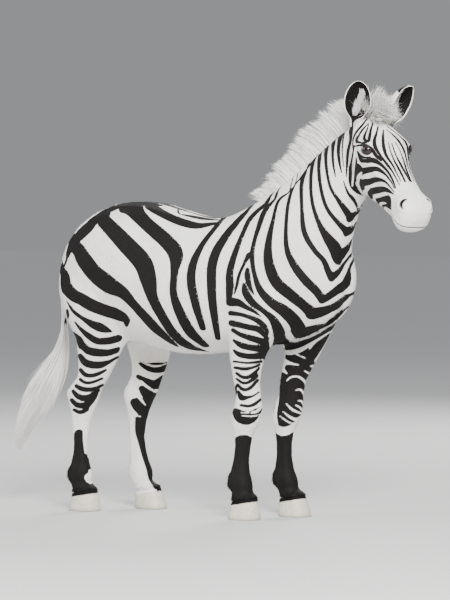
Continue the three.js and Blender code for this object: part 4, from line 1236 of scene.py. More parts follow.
NEAR_HIND_LEG_WHITE = [
    [(-56.4, 40.4, 5.1), (-52.2, 39.8, 5.1), (-48, 40.4, 5.1)],
    [(-50.8, 36.6, 2.3), (-50.8, 31.6, 2.2), (-50.8, 26.4, 0.9)],
    [(-48, 17, 1.3), (-49.6, 15.8, 3.4), (-48.8, 14, 1.7)],
    [(-44.2, 52.4, 1.1), (-45.8, 48.6, 1.5), (-48.2, 45, 2.1)],
]
FAR_FORELEG = [
    [(39, 69, 11.1), (40.6, 62.2, 12.8), (37.2, 55, 12.8), (36.4, 48.6, 11.9), (34.8, 42.2, 11.1),
     (33.8, 39.2, 3.4)],
    [(33.8, 31.2, 11), (34.4, 18.8, 11.9), (36.4, 6.8, 13.4)],
]
FAR_FORELEG_WHITE = [
    [(31.4, 71.2, 3.4), (32.2, 67.4, 3.8), (31.8, 63, 2.6), (31.4, 57, 1.1), (30.8, 48.6, 1),
     (29.8, 42.2, 1.4), (30, 38.4, 2.1)],
    [(33.4, 65.2, 2.6), (36.4, 64.4, 1.1), (40.2, 63.6, 0.4)],
    [(32.6, 62.2, 1.7), (34.8, 60.2, 0.6)],
    [(39, 68.2, 0.4), (43.2, 66.4, 0.6)],
    [(52.6, 73.6, 2.6), (48.4, 70.4, 0.6)],
    [(50, 66.2, 1.3), (47.2, 66, 0.4)],
    [(47.6, 63.2, 1.7), (44.8, 63.2, 0.4)],
    [(44.8, 59.8, 0.9), (42.4, 61.2, 0.4)],
    [(34.8, 57, 0.4), (36.4, 58.4, 0.6), (39.4, 58.8, 0.7), (42, 57.2, 0.9), (43.2, 55, 0.8),
     (42.8, 52.8, 0.4)],
    [(38.6, 53, 0.4), (40.6, 53.2, 0.7), (42, 51.6, 0.8), (42.4, 48.6, 0.5)],
    [(39.4, 48.6, 0.4), (41.2, 48.2, 0.7), (42, 46.4, 0.5)],
    [(38.6, 46.6, 0.5), (40.4, 45.6, 0.7), (41.6, 44, 0.5)],
    [(34.6, 47.2, 0.4), (37, 44.8, 0.9), (41, 43, 0.6)],
    [(33.2, 43.8, 0.4), (36.4, 41.4, 0.9), (39, 40.4, 1.3), (41, 41.6, 1.1)],
    [(31.8, 42, 0.4), (35.2, 39.6, 0.6), (37.2, 38.8, 0.5), (40, 39.4, 0.7)],
    [(30.4, 36.6, 3), (33, 35.4, 3.6), (36.4, 36.4, 3), (39.8, 39, 1.1)],
]
FAR_HIND_LEG = [
    [(-28.6, 67.6, 1.3), (-25.4, 65.8, 1.8), (-22, 64.8, 2.1), (-18.6, 65, 2.1), (-15.2, 66.4, 1.7),
     (-12, 69, 1.1)],
    [(-28, 64.6, 1.1), (-25.4, 62.8, 1.9), (-22, 61.6, 2.3), (-18.6, 61.8, 2.6), (-14.8, 63.4, 2.6)],
    [(-28.6, 58.8, 1.7), (-25, 56.8, 2.8), (-21.6, 55.4, 3.8), (-18.2, 56.6, 4.7), (-15.6, 59.6, 2.6)],
    [(-27, 53.6, 2.6), (-24.6, 52, 5.5), (-22, 49, 6)],
    [(-30.2, 47.8, 3.4), (-27.4, 46.4, 6.8), (-25, 44.2, 6)],
    [(-27, 40.8, 5.5), (-27, 35.8, 5.5), (-26.2, 30.6, 4.3), (-25, 25.2, 3.8), (-23.4, 20, 3.4),
     (-22.4, 15.8, 3.4), (-19.8, 12, 3.8)],
]
FAR_HIND_LEG_WHITE = [
    [(-17.2, 66.8, 0.3), (-12.6, 69, 0.6)],
    [(-19.4, 59.2, 0.4), (-15.6, 60.8, 0.9)],
    [(-27.4, 56.6, 1.1), (-24.6, 54.4, 0.9), (-20.8, 52, 0.4)],
    [(-29.2, 51.4, 1.3), (-27.2, 48.8, 0.9), (-25.4, 46.6, 0.4)],
    [(-30.2, 42.4, 0.9), (-27.6, 41.8, 0.4)],
]

# %% Paint the legs
LEG_TOP = {"front": 0.95, "hind": 0.70}  # up to this height the legs' strokes count
INNER_TOP = 0.06  # so much lower on the far legs
PAIRS = {
    # leg on the near side: (its leg on the far side, strokes of both)
    "front_right": ("front_left", NEAR_FORELEG, NEAR_FORELEG_WHITE, FAR_FORELEG, FAR_FORELEG_WHITE),
    "hind_right": ("hind_left", NEAR_HIND_LEG, NEAR_HIND_LEG_WHITE, FAR_HIND_LEG, FAR_HIND_LEG_WHITE),
}


def flat_field(places, *strokes):
    """How black places are when black and then white strokes are passed straight through the leg."""
    flat = on_sheet(places) / 100
    dark, light = [painted(flat, [flowing(s, 1.0) / [100, 100, 200] for s in some]) for some in strokes]
    return np.minimum(dark, -light)


def leg_points(leg, top):
    """The points of a leg's skin, as indices, and each one's place from the middle of the leg."""
    side = 1 if leg.endswith("left") else -1
    chosen = np.flatnonzero((points[:, 2] < top) & ((points[:, 1] - MIDDLE) * side > 0.0))
    away = points[chosen, :2] - leg_middle(leg, points[chosen, 2])
    close = np.hypot(*away.T) < LEG_REACH
    return chosen[close], away[close]


normals = read_normals(skin.data)
for leg, (other, near_black, near_white, far_black, far_white) in PAIRS.items():
    top = LEG_TOP[leg.split("_")[0]]
    chosen, _ = leg_points(leg, top)
    black[chosen] = np.maximum(black[chosen], flat_field(points[chosen], near_black, near_white))
    chosen, away = leg_points(other, top - INNER_TOP)
    z = points[chosen, 2]
    twin = np.column_stack([leg_middle(leg, z) + away * [1, -1], z])
    outer = flat_field(twin, near_black, near_white)
    inner = flat_field(points[chosen], far_black, far_white)
    seen = np.clip((normals[chosen] @ to_painter + 0.3) / 0.5, 0, 1)
    black[chosen] = np.maximum(black[chosen], seen * inner + (1 - seen) * outer)
black = np.minimum(black, -painted(points, [cast_stroke(stroke) for stroke in BODY_WHITE]))
print("black with the legs:", round(float((black > 0).mean()), 3))

# %% [markdown]
# ## The face
# The face has the finest stripes: they fan out from the forehead, pass round the eye and run down to the
# nose, and those of the cheek bend under the eye. Only the half that faces the painter is drawn.
# The other half is its mirror, cast on the skin in the same way.

# %% Strokes of the face
FACE_STROKES = {
    "f1": [(69, 168.5, 0.4), (66.8, 165.7, 0.9), (65, 163.6, 0.9), (63.7, 161.5, 0.7), (63, 158.5, 0.6),
        (63.2, 154.7, 0.4)],
    "f2": [(69.7, 166.8, 0.3), (66.9, 163.6, 0.9), (65.6, 161.5, 0.8), (64.6, 159.3, 1.2), (66.7, 158.4, 0.6),
        (68.8, 158.7, 0.9)],
    "f3": [(69.8, 166.2, 0.3), (68.9, 163.6, 0.6), (68, 161.5, 0.9), (68, 160, 1), (69.2, 158.9, 1.2)],
    "f4": [(71.8, 167.2, 0.4), (70.9, 164.9, 0.8), (70.2, 161.5, 1.1), (69.8, 159.3, 1.3)],
    "f5": [(73.8, 165.3, 0.6), (73.2, 162.8, 0.8), (72.2, 159.3, 1.4), (72.5, 156.8, 1.6), (74.8, 153, 1),
        (78, 148.7, 1.1), (79.6, 146.6, 0.8), (83, 140.4, 0.3)],
    "f6": [(76.1, 164, 0.4), (75.9, 160.6, 1.1), (76.3, 156.1, 1.4), (77.3, 153, 1.2), (80.1, 148.7, 0.8),
        (83.5, 141.9, 0.3)],
    "f7": [(78.2, 158.5, 0.3), (79, 155.1, 0.4), (80.7, 150.8, 0.7), (83, 146.6, 0.9), (85.3, 141.9, 0.7)],
    "f8": [(79.6, 158.1, 0.4), (81.5, 153, 0.5), (83.7, 148.7, 0.9), (87.4, 141.9, 0.4)],
    "lid": [(63.5, 156.9, 0.4), (66.3, 157.4, 0.8), (68.8, 157.6, 0.7), (70.6, 156.2, 1.2), (72.9, 153, 1.5),
        (75.2, 151, 1.1)],
    "lower_lid": [(65, 154.7, 0.4), (66.5, 152.6, 0.8), (68.8, 152.1, 0.8), (70.7, 152.4, 0.4)],
    "c0": [(64.8, 154.7, 0.3), (66.5, 151, 1.1), (68.8, 150.7, 1.8), (71.4, 151, 2.2), (74.8, 149.3, 1.4),
        (78.2, 145.7, 1), (80.5, 141.4, 0.7), (81.3, 139.1, 0.4)],
    "c1": [(63.6, 140.6, 0.9), (64, 144, 2.2), (64.8, 147.4, 3), (66.9, 146.4, 2.8), (69.9, 146.9, 2.5),
        (73.3, 147.2, 1.9), (76.7, 145.1, 1), (79.7, 141.2, 0.5), (80.7, 139.1, 0.4)],
    "c2": [(67.7, 135.7, 0.4), (66.6, 138.9, 1), (67.1, 141.1, 2.8), (69.7, 141.7, 2.7), (73.1, 142.7, 2.1),
        (76.5, 142, 1), (80.7, 137.4, 0.3)],
    "c3": [(72, 132.7, 0.3), (70.2, 135.5, 1.4), (70.5, 137.2, 2.6), (73.9, 138.3, 2.8), (76.9, 138.5, 2),
        (80.5, 136.5, 0.3)],
    "c4": [(74.6, 131.2, 0.3), (73.5, 133.4, 1.5), (75.2, 134.2, 2.1), (77.8, 134.1, 2.6),
        (79.3, 131.4, 0.4)],
    "c5": [(76.3, 129.9, 0.4), (75.8, 131.3, 0.8), (77.1, 131.7, 0.9), (79.4, 130.2, 0.4)],
    "jaw": [(64.6, 152.1, 0.3), (64.3, 148.7, 1.4), (64.1, 144.9, 1.5), (64, 141.4, 1.3), (64.8, 138.9, 0.7)],
}
FACE_WHITE = [
    [(64.2, 154.2, 0.4), (63.8, 150.8, 0.5), (63.3, 146.1, 0.6), (62.9, 141.4, 0.5), (62.8, 140, 0.3)],
    [(66.7, 145.5, 0.7), (65.5, 143.8, 0.9), (65.2, 141, 0.9), (66, 138.5, 0.7), (67.5, 136.3, 0.5)],
    [(69.9, 139.1, 0.7), (68.5, 137.6, 0.9), (68.5, 135.7, 0.9), (69.8, 133.6, 0.9), (71.7, 132.1, 0.6)],
]

# %% Paint the face
FACE_STEP = 0.5  # centimetres between the rows of a chain, finer than on the trunk
MIDDLE_STROKE = "f8"  # runs down the ridge of the nose, so it has no twin


def across_face(rows):
    """A chain on the right half of the face as the chain that mirrors it on the left half."""
    out = rows.copy()
    out[:, :3] = from_head(in_head(rows[:, :3]) * [1, -1, 1])
    return snapped(out)


face_chains = []
for name, stroke in FACE_STROKES.items():
    chain = cast_stroke(stroke, FACE_STEP)
    face_chains.append(chain)
    if name != MIDDLE_STROKE:
        face_chains.append(across_face(chain))
white_chains = [cast_stroke(stroke, FACE_STEP) for stroke in FACE_WHITE]
white_chains += [across_face(chain) for chain in white_chains]
black = np.maximum(black, painted(points, face_chains))
black = np.minimum(black, -painted(points, white_chains))
print("chains on the face:", len(face_chains), "black and", len(white_chains), "white")

# %% [markdown]
# ## The coat's finish
# The mark made above goes on the skin as an attribute, a number at each point that a finish can read.
# A little noise on it frays the stripe's edge as hairs do. The black is a warm, nearly dull black and the
# white a cream that changes over the body, and a nap of drawn-out noise gives the lie of the hair.
# Bare dark skin shows at the lids; in the nostrils and along the mouth the dark is bare skin and painted
# shade.

# %% The coat's attributes and finish
def write_attribute(mesh, name, values):
    attribute = mesh.attributes.new(name, "FLOAT", "POINT")
    attribute.data.foreach_set("value", values.astype(np.float32))


def finish_piece(piece, finish, slot_name, *nodes):
    """Smooth shading, a finish, and the lines that tie a piece to the frame."""
    piece.data.materials.append(finish)
    piece.data.polygons.foreach_set("use_smooth", np.ones(len(piece.data.polygons), bool))
    piece.data.update()
    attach(piece, "root")
    if nodes:
        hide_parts(*nodes)
    return piece


def coat_finish():
    """Short smooth hair: black and white parted by the mark, with a fine nap."""
    coat = Finish("striped_coat")
    place = coat.node("TexCoord", "Object")
    frayed = coat.sums("SUBTRACT", coat.noise(260.0, 3.0, Vector=place), 0.5)
    edge = coat.sums("MULTIPLY_ADD", frayed, 0.22, coat.attribute("mark"))
    nap = coat.noise(1.0, 4.0, Vector=coat.stretched(place, (160.0, 520.0, 110.0)), Roughness=0.65)
    cloud = coat.noise(5.0, 4.0, Vector=place)
    white = coat.ramp(cloud, (0.3, (0.80, 0.77, 0.71)), (0.62, (0.90, 0.885, 0.85)))
    dark = coat.ramp(nap, (0.0, (0.004, 0.0035, 0.0035)), (1.0, (0.014, 0.012, 0.011)))
    hair = coat.mix(coat.spread(edge, -0.05, 0.05), white, dark)
    hair = coat.mix(1.0, hair, coat.spread(nap, 0.3, 0.7, 0.86, 1.05), "MULTIPLY")
    # bare: dark bare skin at the lids' rims, and in the nostrils bare skin with painted shade of their opening
    bare_skin_and_nostril_shade = coat.mix(coat.attribute("bare"), hair, (0.008, 0.006, 0.006))
    # lips: a dark line along the mouth, the lips' skin with painted shade in their slit
    lip_skin_and_mouth_shade = coat.mix(coat.attribute("lips"), bare_skin_and_nostril_shade, (0.02, 0.013, 0.012))
    bump = coat.bump(nap, 0.25, 0.0015)
    return coat.shade({"Base Color": lip_skin_and_mouth_shade, "Roughness": 0.7, "Specular IOR Level": 0.13, "Normal": bump})


write_attribute(skin.data, "mark", black / FAR)
# bare and lips carry dark bare skin and painted shade: in the nostrils' opening and the slit between the lips
write_attribute(skin.data, "bare", np.maximum(np.clip(nostril_skin_and_painted_shade, 0, 1), lid_dark))
write_attribute(skin.data, "lips", np.clip(mouth_skin_and_painted_shade, 0, 1))
striped_coat = coat_finish()
finish_piece(skin, striped_coat, "striped_coat", *FLESH, "head")
print("the skin takes the place of", len(FLESH) + 1, "solids")

# %% [markdown]
# ## Eyes
# The eyeball is a smooth glossy ball behind the lids. Seen from a few steps a zebra's eye is nearly black,
# with a brown iris and a wide pupil that lies level. Colour comes from how far a point is from
# the eye's own axis, and a clear coat gives the wet highlight. The lids' rims are dark and moist.

# %% Eyeballs
# From the pupil's middle outwards: (share of the iris, colour)
EYE_COLOURS = [(0.0, (0.002, 0.002, 0.003)), (0.36, (0.002, 0.002, 0.003)), (0.44, (0.030, 0.012, 0.006)),
               (0.76, (0.018, 0.008, 0.005)), (0.86, (0.006, 0.004, 0.004)), (1.0, (0.05, 0.032, 0.028))]
CLEAR_FRONT = 0.05  # how far the clear front of the eye stands out, as a share of its radius
PUPIL_LEVEL = 1.25  # how much wider than high the pupil is
IRIS_EDGE = 0.78  # the iris ends this far from the eye's axis, and the clear front starts this far out


def eye_finish():
    eye = Finish("eye_dark")
    rings = eye.ramp(eye.attribute("iris"), *EYE_COLOURS)
    streaked = eye.mix(0.35, rings, eye.noise(900.0, 3.0), "MULTIPLY")
    return eye.shade({"Base Color": streaked, "Roughness": 0.12, "Specular IOR Level": 0.2,
                      "Coat Weight": 1.0, "Coat Roughness": 0.02, "Coat IOR": 1.36})


eye_dark = eye_finish()


def eyeball(side):
    name = "eye_right" if side < 0 else "eye_left"
    places, faces = ball(np.zeros(3), 1.0, 40)
    bulge = 1 + CLEAR_FRONT * np.clip((places[:, 2] - IRIS_EDGE) / 0.22, 0, 1)
    in_space = eye_middle(side) + (places * bulge[:, None] * EYE_RADIUS * HEAD_SCALE) @ eye_frame(side).T
    piece = new_object(f"{name}_ball", in_space, faces)
    off_axis = np.hypot(places[:, 0] / PUPIL_LEVEL, places[:, 1]) / IRIS_EDGE
    write_attribute(piece.data, "iris", np.where(places[:, 2] > 0, np.clip(off_axis, 0, 1), 1.0))
    return finish_piece(piece, eye_dark, "eye", name)


for side in (-1, 1):
    eyeball(side)
print("eyeballs:", 2 * EYE_RADIUS * HEAD_SCALE, "m across")

# %% Rims and lashes of the lids
RIM_STEPS, LASHES, LASH_STEPS = 40, 34, 6


def strip_faces(count, steps, sides):
    """Quads round many equal tubes, as rows of point numbers."""
    tube, step, side = np.meshgrid(np.arange(count), np.arange(steps - 1), np.arange(sides), indexing="ij")
    base = (tube * steps + step) * sides
    a = base + side
    b = base + (side + 1) % sides
    return np.stack([a, b, b + sides, a + sides], axis=-1).reshape(-1, 4)


def tubes(lines, radii, sides):
    """Points and faces of tapering tubes. lines: (tubes, steps, 3), radii: (tubes, steps)."""
    lines, radii = np.asarray(lines, float), np.asarray(radii, float)
    along = unit(np.gradient(lines, axis=1), 1e-12)
    guide = np.where(np.abs(along[..., 2:]) > 0.9, [1.0, 0, 0], [0, 0, 1.0])
    wide = unit(np.cross(along, guide), 1e-12)
    deep = np.cross(along, wide)
    angle = round_angles(sides)
    ring = np.cos(angle)[:, None] * wide[:, :, None] + np.sin(angle)[:, None] * deep[:, :, None]
    places = (lines[:, :, None] + ring * radii[:, :, None, None]).reshape(-1, 3)
    return places, strip_faces(*lines.shape[:2], sides)


def fast_object(name, places, quads):
    """An object from arrays of points and quads, without slow lists."""
    mesh = bpy.data.meshes.new(name)
    mesh.vertices.add(len(places))
    mesh.vertices.foreach_set("co", np.asarray(places, np.float32).ravel())
    mesh.loops.add(quads.size)
    mesh.loops.foreach_set("vertex_index", quads.astype(np.int32).ravel())
    mesh.polygons.add(len(quads))
    mesh.polygons.foreach_set("loop_start", np.arange(0, quads.size, 4, dtype=np.int32))
    mesh.update()
    mesh.validate()
    made = bpy.data.objects.new(name, mesh)
    bpy.context.collection.objects.link(made)
    return made


def lid_line(side, upper, count, radius):
    """The edge of one lid on the eyeball, from the outer to the inner corner."""
    u = np.linspace(-1, 1, count) * EYE_OPENING["long"] * 0.985
    share = np.abs(u) / EYE_OPENING["long"]
    v = (EYE_OPENING["up"] if upper else -EYE_OPENING["down"]) * (1 - share**LID_ARCH) - 0.06 * u
    direction = unit(np.column_stack([u, v, np.sqrt(np.maximum(radius**2 - u**2 - v**2, 16.0))]))
    return eye_middle(side) + (direction * radius * HEAD_SCALE) @ eye_frame(side).T


def dark_skin_finish():
    bare = Finish("dark_skin")
    grain = bare.noise(700.0, 3.0)
    tone = bare.ramp(grain, (0.0, (0.006, 0.005, 0.005)), (1.0, (0.022, 0.018, 0.017)))
    return bare.shade({"Base Color": tone, "Roughness": 0.42, "Normal": bare.bump(grain, 0.3, 0.0008)})


dark_skin = dark_skin_finish()
RIM_OVER = {True: 1.9, False: 1.5}  # the rim's radius in millimetres, for the upper and the lower lid
rim_lines = [lid_line(side, upper, RIM_STEPS, EYE_RADIUS + 1.6) for side in (-1, 1) for upper in RIM_OVER]
thickness = np.sin(np.linspace(0.12, np.pi - 0.12, RIM_STEPS)) ** 0.4
rim_radii = [thickness * radius * HEAD_SCALE for radius in RIM_OVER.values()] * 2
rims = fast_object("lid_rims", *tubes(rim_lines, rim_radii, 8))
finish_piece(rims, dark_skin, "eye")

random = np.random.default_rng(11)
lashes, lash_radii = [], []
for side in (-1, 1):
    axes = eye_frame(side)
    for k, root in enumerate(lid_line(side, True, LASHES, EYE_RADIUS + 2.2)):
        lean = (k / (LASHES - 1) - 0.5) * 0.8
        way = axes @ np.array([lean + 0.15 * random.normal(), 0.25, 1.0])
        drop = axes @ np.array([0, -1.0, 0])
        t = np.linspace(0, 1, LASH_STEPS)[:, None]
        length = (14 + 4 * random.random()) * HEAD_SCALE
        lashes.append(root + way * length * t / np.linalg.norm(way) + drop * length * 0.35 * t * (1 - 0.4 * t))
        lash_radii.append((1 - t[:, 0]) * 0.00035 + 0.00006)
finish_piece(fast_object("lashes", *tubes(lashes, lash_radii, 3)), dark_skin, "eye")
print("lashes:", len(lashes))

# %% [markdown]
# ## A map for the coat
# A flat map of the skin lets its colours be baked to a picture.
# Here the skin is cut into patches by part (trunk, head, each leg, tail) and by the side that it faces,
# and each patch is laid flat as seen square on. The head gets a larger share for its fine stripes.
# Tufts of hair take their place on the same map from where they grow.

# %% Cut the skin into patches
PARTS = ["trunk", "head", "tail"] + ["leg"] * 4
ON_HEAD, ON_TAIL, ON_LEG = 1, 2, 3  # numbers into PARTS, ON_LEG for the first of the four
MAP_SHARE = {"trunk": 1.0, "head": 2.4, "tail": 1.2, "leg": 1.15}
FLAT_AXES = np.array([(1, 2), (0, 2), (0, 1)])  # the axes that stay when a patch is seen along X, Y or Z
SIDES = 6  # a patch faces along one of three axes, forth or back
MAP_BOX = (-45, 130, -205, 120)  # what counts as head, listed as the boxes above


def part_of(places):
    """Which part of the body each place belongs to, as a number into PARTS."""
    part = np.zeros(len(places), int)
    x, y, z = places.T
    part[in_box(in_head(places), MAP_BOX)] = ON_HEAD
    _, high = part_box("tail_dock")
    part[(x < high[0] - 0.02) & (z < high[2] + 0.01) & (x < -0.835)] = ON_TAIL
    for k, leg in enumerate(LEG_NAMES):
        low, high = leg_box(leg)
        inside = (x > low[0] - 0.02) & (x < high[0] + 0.02) & (z < high[2])
        part[inside & (y > low[1] - 0.02) & (y < high[1] + 0.02)] = ON_LEG + k
    return part


def patch_of(places, outward):
    """The number of the patch that each place belongs to, by its part and the side that it faces."""
    part = part_of(places)
    way = outward.copy()
    way[part == ON_HEAD] = outward[part == ON_HEAD] @ head_axes
    weight = np.abs(way) * [0.8, 1.0, 0.85]
    weight[part >= ON_TAIL, 2] = 0
    axis = weight.argmax(1)
    return part * SIDES + axis * 2 + (np.take_along_axis(way, axis[:, None], 1)[:, 0] > 0)


def flat_in_patch(places, patches):
    """Flat coordinates of places in the patches that they are given."""
    own = places.copy()
    on_head = patches // SIDES == ON_HEAD
    own[on_head] = in_head(places[on_head]) * HEAD_SCALE
    keep = FLAT_AXES[(patches % SIDES) // 2]
    return np.column_stack([np.take_along_axis(own, keep[:, k : k + 1], 1)[:, 0] for k in (0, 1)])


skin_faces = skin.data.polygons
count = len(skin_faces)
points = read_points(skin.data)
middles = read(skin_faces, "center", 3).astype(float)
facing = read(skin_faces, "normal", 3).astype(float)
loop_total = read(skin_faces, "loop_total", kind=np.int32)
loop_vertex = read(skin.data.loops, "vertex_index", kind=np.int32)
patch = patch_of(middles, facing)
loop_patch = np.repeat(patch, loop_total)
print("patches:", len(np.unique(patch)))

# %% Pack the patches and write the map
MAP_GAP = 0.004
TUFT_PATCH = 0.003  # how large a tuft is on the map


def pack(sizes, scale):
    """Lays rectangles in rows; gives their corners, or nothing where they pass the edge of the map."""
    corners = {}
    x = y = row = MAP_GAP
    for key, (wide, high) in sorted(sizes.items(), key=lambda item: -item[1][1]):
        wide, high = wide * scale, high * scale
        if x + wide + MAP_GAP > 1:
            x, y = MAP_GAP, y + row + MAP_GAP
            row = 0
        corners[key] = (x, y)
        x += wide + MAP_GAP
        row = max(row, high)
        if y + row + MAP_GAP > 1 or wide > 1 - 2 * MAP_GAP:
            return None
    return corners


flat = flat_in_patch(points[loop_vertex], loop_patch)
patch_low, patch_corner = np.zeros((2, len(PARTS) * SIDES, 2))
patch_scale = np.zeros(len(PARTS) * SIDES)
patch_size = {}
for key in np.unique(patch):
    own = flat[loop_patch == key]
    patch_scale[key] = MAP_SHARE[PARTS[key // SIDES]]
    patch_low[key] = own.min(0)
    patch_size[key] = (own.max(0) - own.min(0)) * patch_scale[key]
scale = next(s for s in np.arange(0.6, 0.05, -0.004) if pack(patch_size, s))
patch_scale *= scale
for key, corner in pack(patch_size, scale).items():
    patch_corner[key] = corner


def on_map(flat_places, patches):
    return patch_corner[patches] + (flat_places - patch_low[patches]) * patch_scale[patches][:, None]


def write_map(mesh, uv):
    layer = mesh.uv_layers.new(name="OFBake")
    layer.data.foreach_set("uv", np.asarray(uv, np.float32).ravel())


def write_tuft_map(mesh, roots, spread):
    """Gives each tuft a small patch of the map at its root's place. spread: (0..1, 0..1) of a tuft's loops."""
    patches = patch[[tree.find_nearest(Vector(root))[2] for root in roots]]
    corner = on_map(flat_in_patch(roots, patches), patches)
    write_map(mesh, corner[:, None] + (spread - 0.5) * TUFT_PATCH)


write_map(skin.data, on_map(flat, loop_patch))
print("the map takes", round(scale, 3), "of its side for a metre of trunk")

# %% [markdown]
# ## Ears
# A zebra's ear is a leaf of thin gristle rolled into a cup, wide in the middle, rounded at the tip.
# Inside it is dark with a brush of long white hair, and its back is white with a black tip and band.
# Each ring of the ear runs along the outer side and back along the inner one, so the wall has a
# real thickness and a rim.

# %% Shape of the ears
EAR_LENGTH, EAR_RADIUS, EAR_WALL = 165.0, 52.5, 5.0
EAR_ROOT = [2, 73, 40]
EARS = {
    # name: (side, the way the tip points, the way the cup opens), in the head's frame
    "ear_right": (-1, [-0.3, -0.1, 0.94], [0.75, -0.62, 0.2]),
    "ear_left": (1, [-0.18, 0.4, 0.9], [0.86, 0.34, 0.2]),
}
# [share of the length, radius share, half angle of the roll in degrees, forward set of the middle]
EAR_ROWS = smooth_rows([
    [-0.14, 0.5, 152, 0], [0.06, 0.57, 146, 0], [0.2, 0.8, 122, 2], [0.36, 0.99, 99, 6], [0.52, 1.04, 89, 9],
    [0.68, 0.96, 81, 10], [0.82, 0.79, 73, 9], [0.91, 0.58, 67, 7], [0.97, 0.34, 62, 5], [1.0, 0.12, 60, 4],
], 6)
EAR_ARC = 30
# The black bands on the back, in millimetres: the one below the white tip, and the low one from the root
TIP_BAND, LOW_BAND = (9, 46), (28, 62)


def ear_axes(side, tip, opening):
    """Root, way to the tip, way the cup opens and way across, in the head's frame."""
    up = np.array(tip, float) / np.linalg.norm(tip)
    out = np.array(opening, float) - up * np.dot(opening, up)
    out /= np.linalg.norm(out)
    return np.array([EAR_ROOT[0], side * EAR_ROOT[1], EAR_ROOT[2]], float), up, out, np.cross(up, out)


def ear_point(axes, t, turn, inset):
    """A point of the ear's wall: t along it, turn from -1 to 1 across, inset from the outer face."""
    root, up, out, across = axes
    share, half_angle, forward = [np.interp(t, EAR_ROWS[:, 0], EAR_ROWS[:, k]) for k in (1, 2, 3)]
    angle = np.radians(half_angle) * turn
    radius = EAR_RADIUS * share - inset
    middle = root + up * (t * EAR_LENGTH)[..., None] + out * forward[..., None]
    return middle + across * (radius * np.sin(angle))[..., None] - out * (radius * np.cos(angle))[..., None]


def ear_piece(name):
    axes = ear_axes(*EARS[name])
    turn = np.linspace(-1, 1, EAR_ARC)
    ones = np.ones(EAR_ARC)
    ridges = 0.8 * np.cos(turn * 9) * np.clip(1 - np.abs(turn), 0, 1)
    rings, marks = [], []
    for t, share, half_angle, _ in EAR_ROWS:
        wall = min(EAR_WALL, EAR_RADIUS * share * 0.5)
        outer = ear_point(axes, t * ones, turn, 0 * ones)
        inset = wall * (0.55 + 0.45 * (1 - turn[::-1] ** 4)) + ridges
        inner = ear_point(axes, t * ones, turn[::-1] * 0.975, inset)
        rings.append(from_head(np.vstack([outer, inner])))
        rim = (1 - np.abs(turn)) * np.radians(half_angle) * EAR_RADIUS * share
        from_tip = (1 - t) * EAR_LENGTH
        tip_band = min(from_tip - TIP_BAND[0], TIP_BAND[1] - from_tip)
        low_band = min(t * EAR_LENGTH - LOW_BAND[0], LOW_BAND[1] - t * EAR_LENGTH) * 0.7
        back = np.full(EAR_ARC, max(tip_band, low_band))
        front = np.minimum(rim[::-1] - 3.5, from_tip - 4)
        marks.append(np.concatenate([np.minimum(back, rim - 2), front]))
    piece = new_object(f"{name}_cup", *loft(rings))
    write_attribute(piece.data, "mark", np.clip(np.concatenate(marks) / 1000 / FAR, -1, 1))
    return finish_piece(piece, striped_coat, "ear_coat", name)


for name in EARS:
    ear_piece(name)
print("ears:", EAR_LENGTH * HEAD_SCALE, "m long")

# %% [markdown]
# ## Hooves
# A hoof is a horn capsule: lower and steeper at the heel, longer and slanting at the toe, with fine
# rings of growth that run level with the hairline. A zebra's hoof is narrower than a horse's.
# The lowest hair of the leg hangs over its upper edge, so the finish turns to the leg's colour there.

# %% Horn and hooves
HOOF_SIDES, HOOF_RINGS = 72, 46
HOOF_TOP_TOE, HOOF_TOP_HEEL = 0.094, 0.070
CORONET = 0.093  # the height at which the leg enters the horn


def horn_finish():
    horn = Finish("pale_horn")
    place = horn.node("TexCoord", "Object")
    streak = horn.noise(1.0, 4.0, Vector=horn.stretched(place, (420.0, 420.0, 14.0)))
    growth = horn.noise(1.0, 2.0, Vector=horn.stretched(place, (9.0, 9.0, 330.0)))
    tone = horn.ramp(streak, (0.25, (0.50, 0.43, 0.33)), (0.7, (0.78, 0.73, 0.64)))
    # darker and browner towards the ground, in the lowest 1.7 cm of the horn
    toned_near_ground = horn.mix(horn.attribute("near_ground"), tone, (0.30, 0.25, 0.19))
    ends = horn.sums("MULTIPLY_ADD", streak, 0.12, horn.attribute("share"))
    covered = horn.spread(ends, 0.87, 0.885)
    hair = horn.mix(horn.attribute("dark"), (0.86, 0.84, 0.80), (0.006, 0.005, 0.005))
    return horn.shade({
        "Base Color": horn.mix(covered, toned_near_ground, hair),
        "Roughness": horn.spread(covered, 0.0, 1.0, 0.45, 0.75),
        "Specular IOR Level": horn.spread(covered, 0.0, 1.0, 0.5, 0.1),
        "Normal": horn.bump(horn.sums("ADD", streak, growth), 0.3, 0.0012),
    })


pale_horn = horn_finish()


def hairline(toe):
    """The height of the horn's upper edge, from the heel (0) to the toe (1)."""
    return HOOF_TOP_HEEL + (HOOF_TOP_TOE - HOOF_TOP_HEEL) * toe


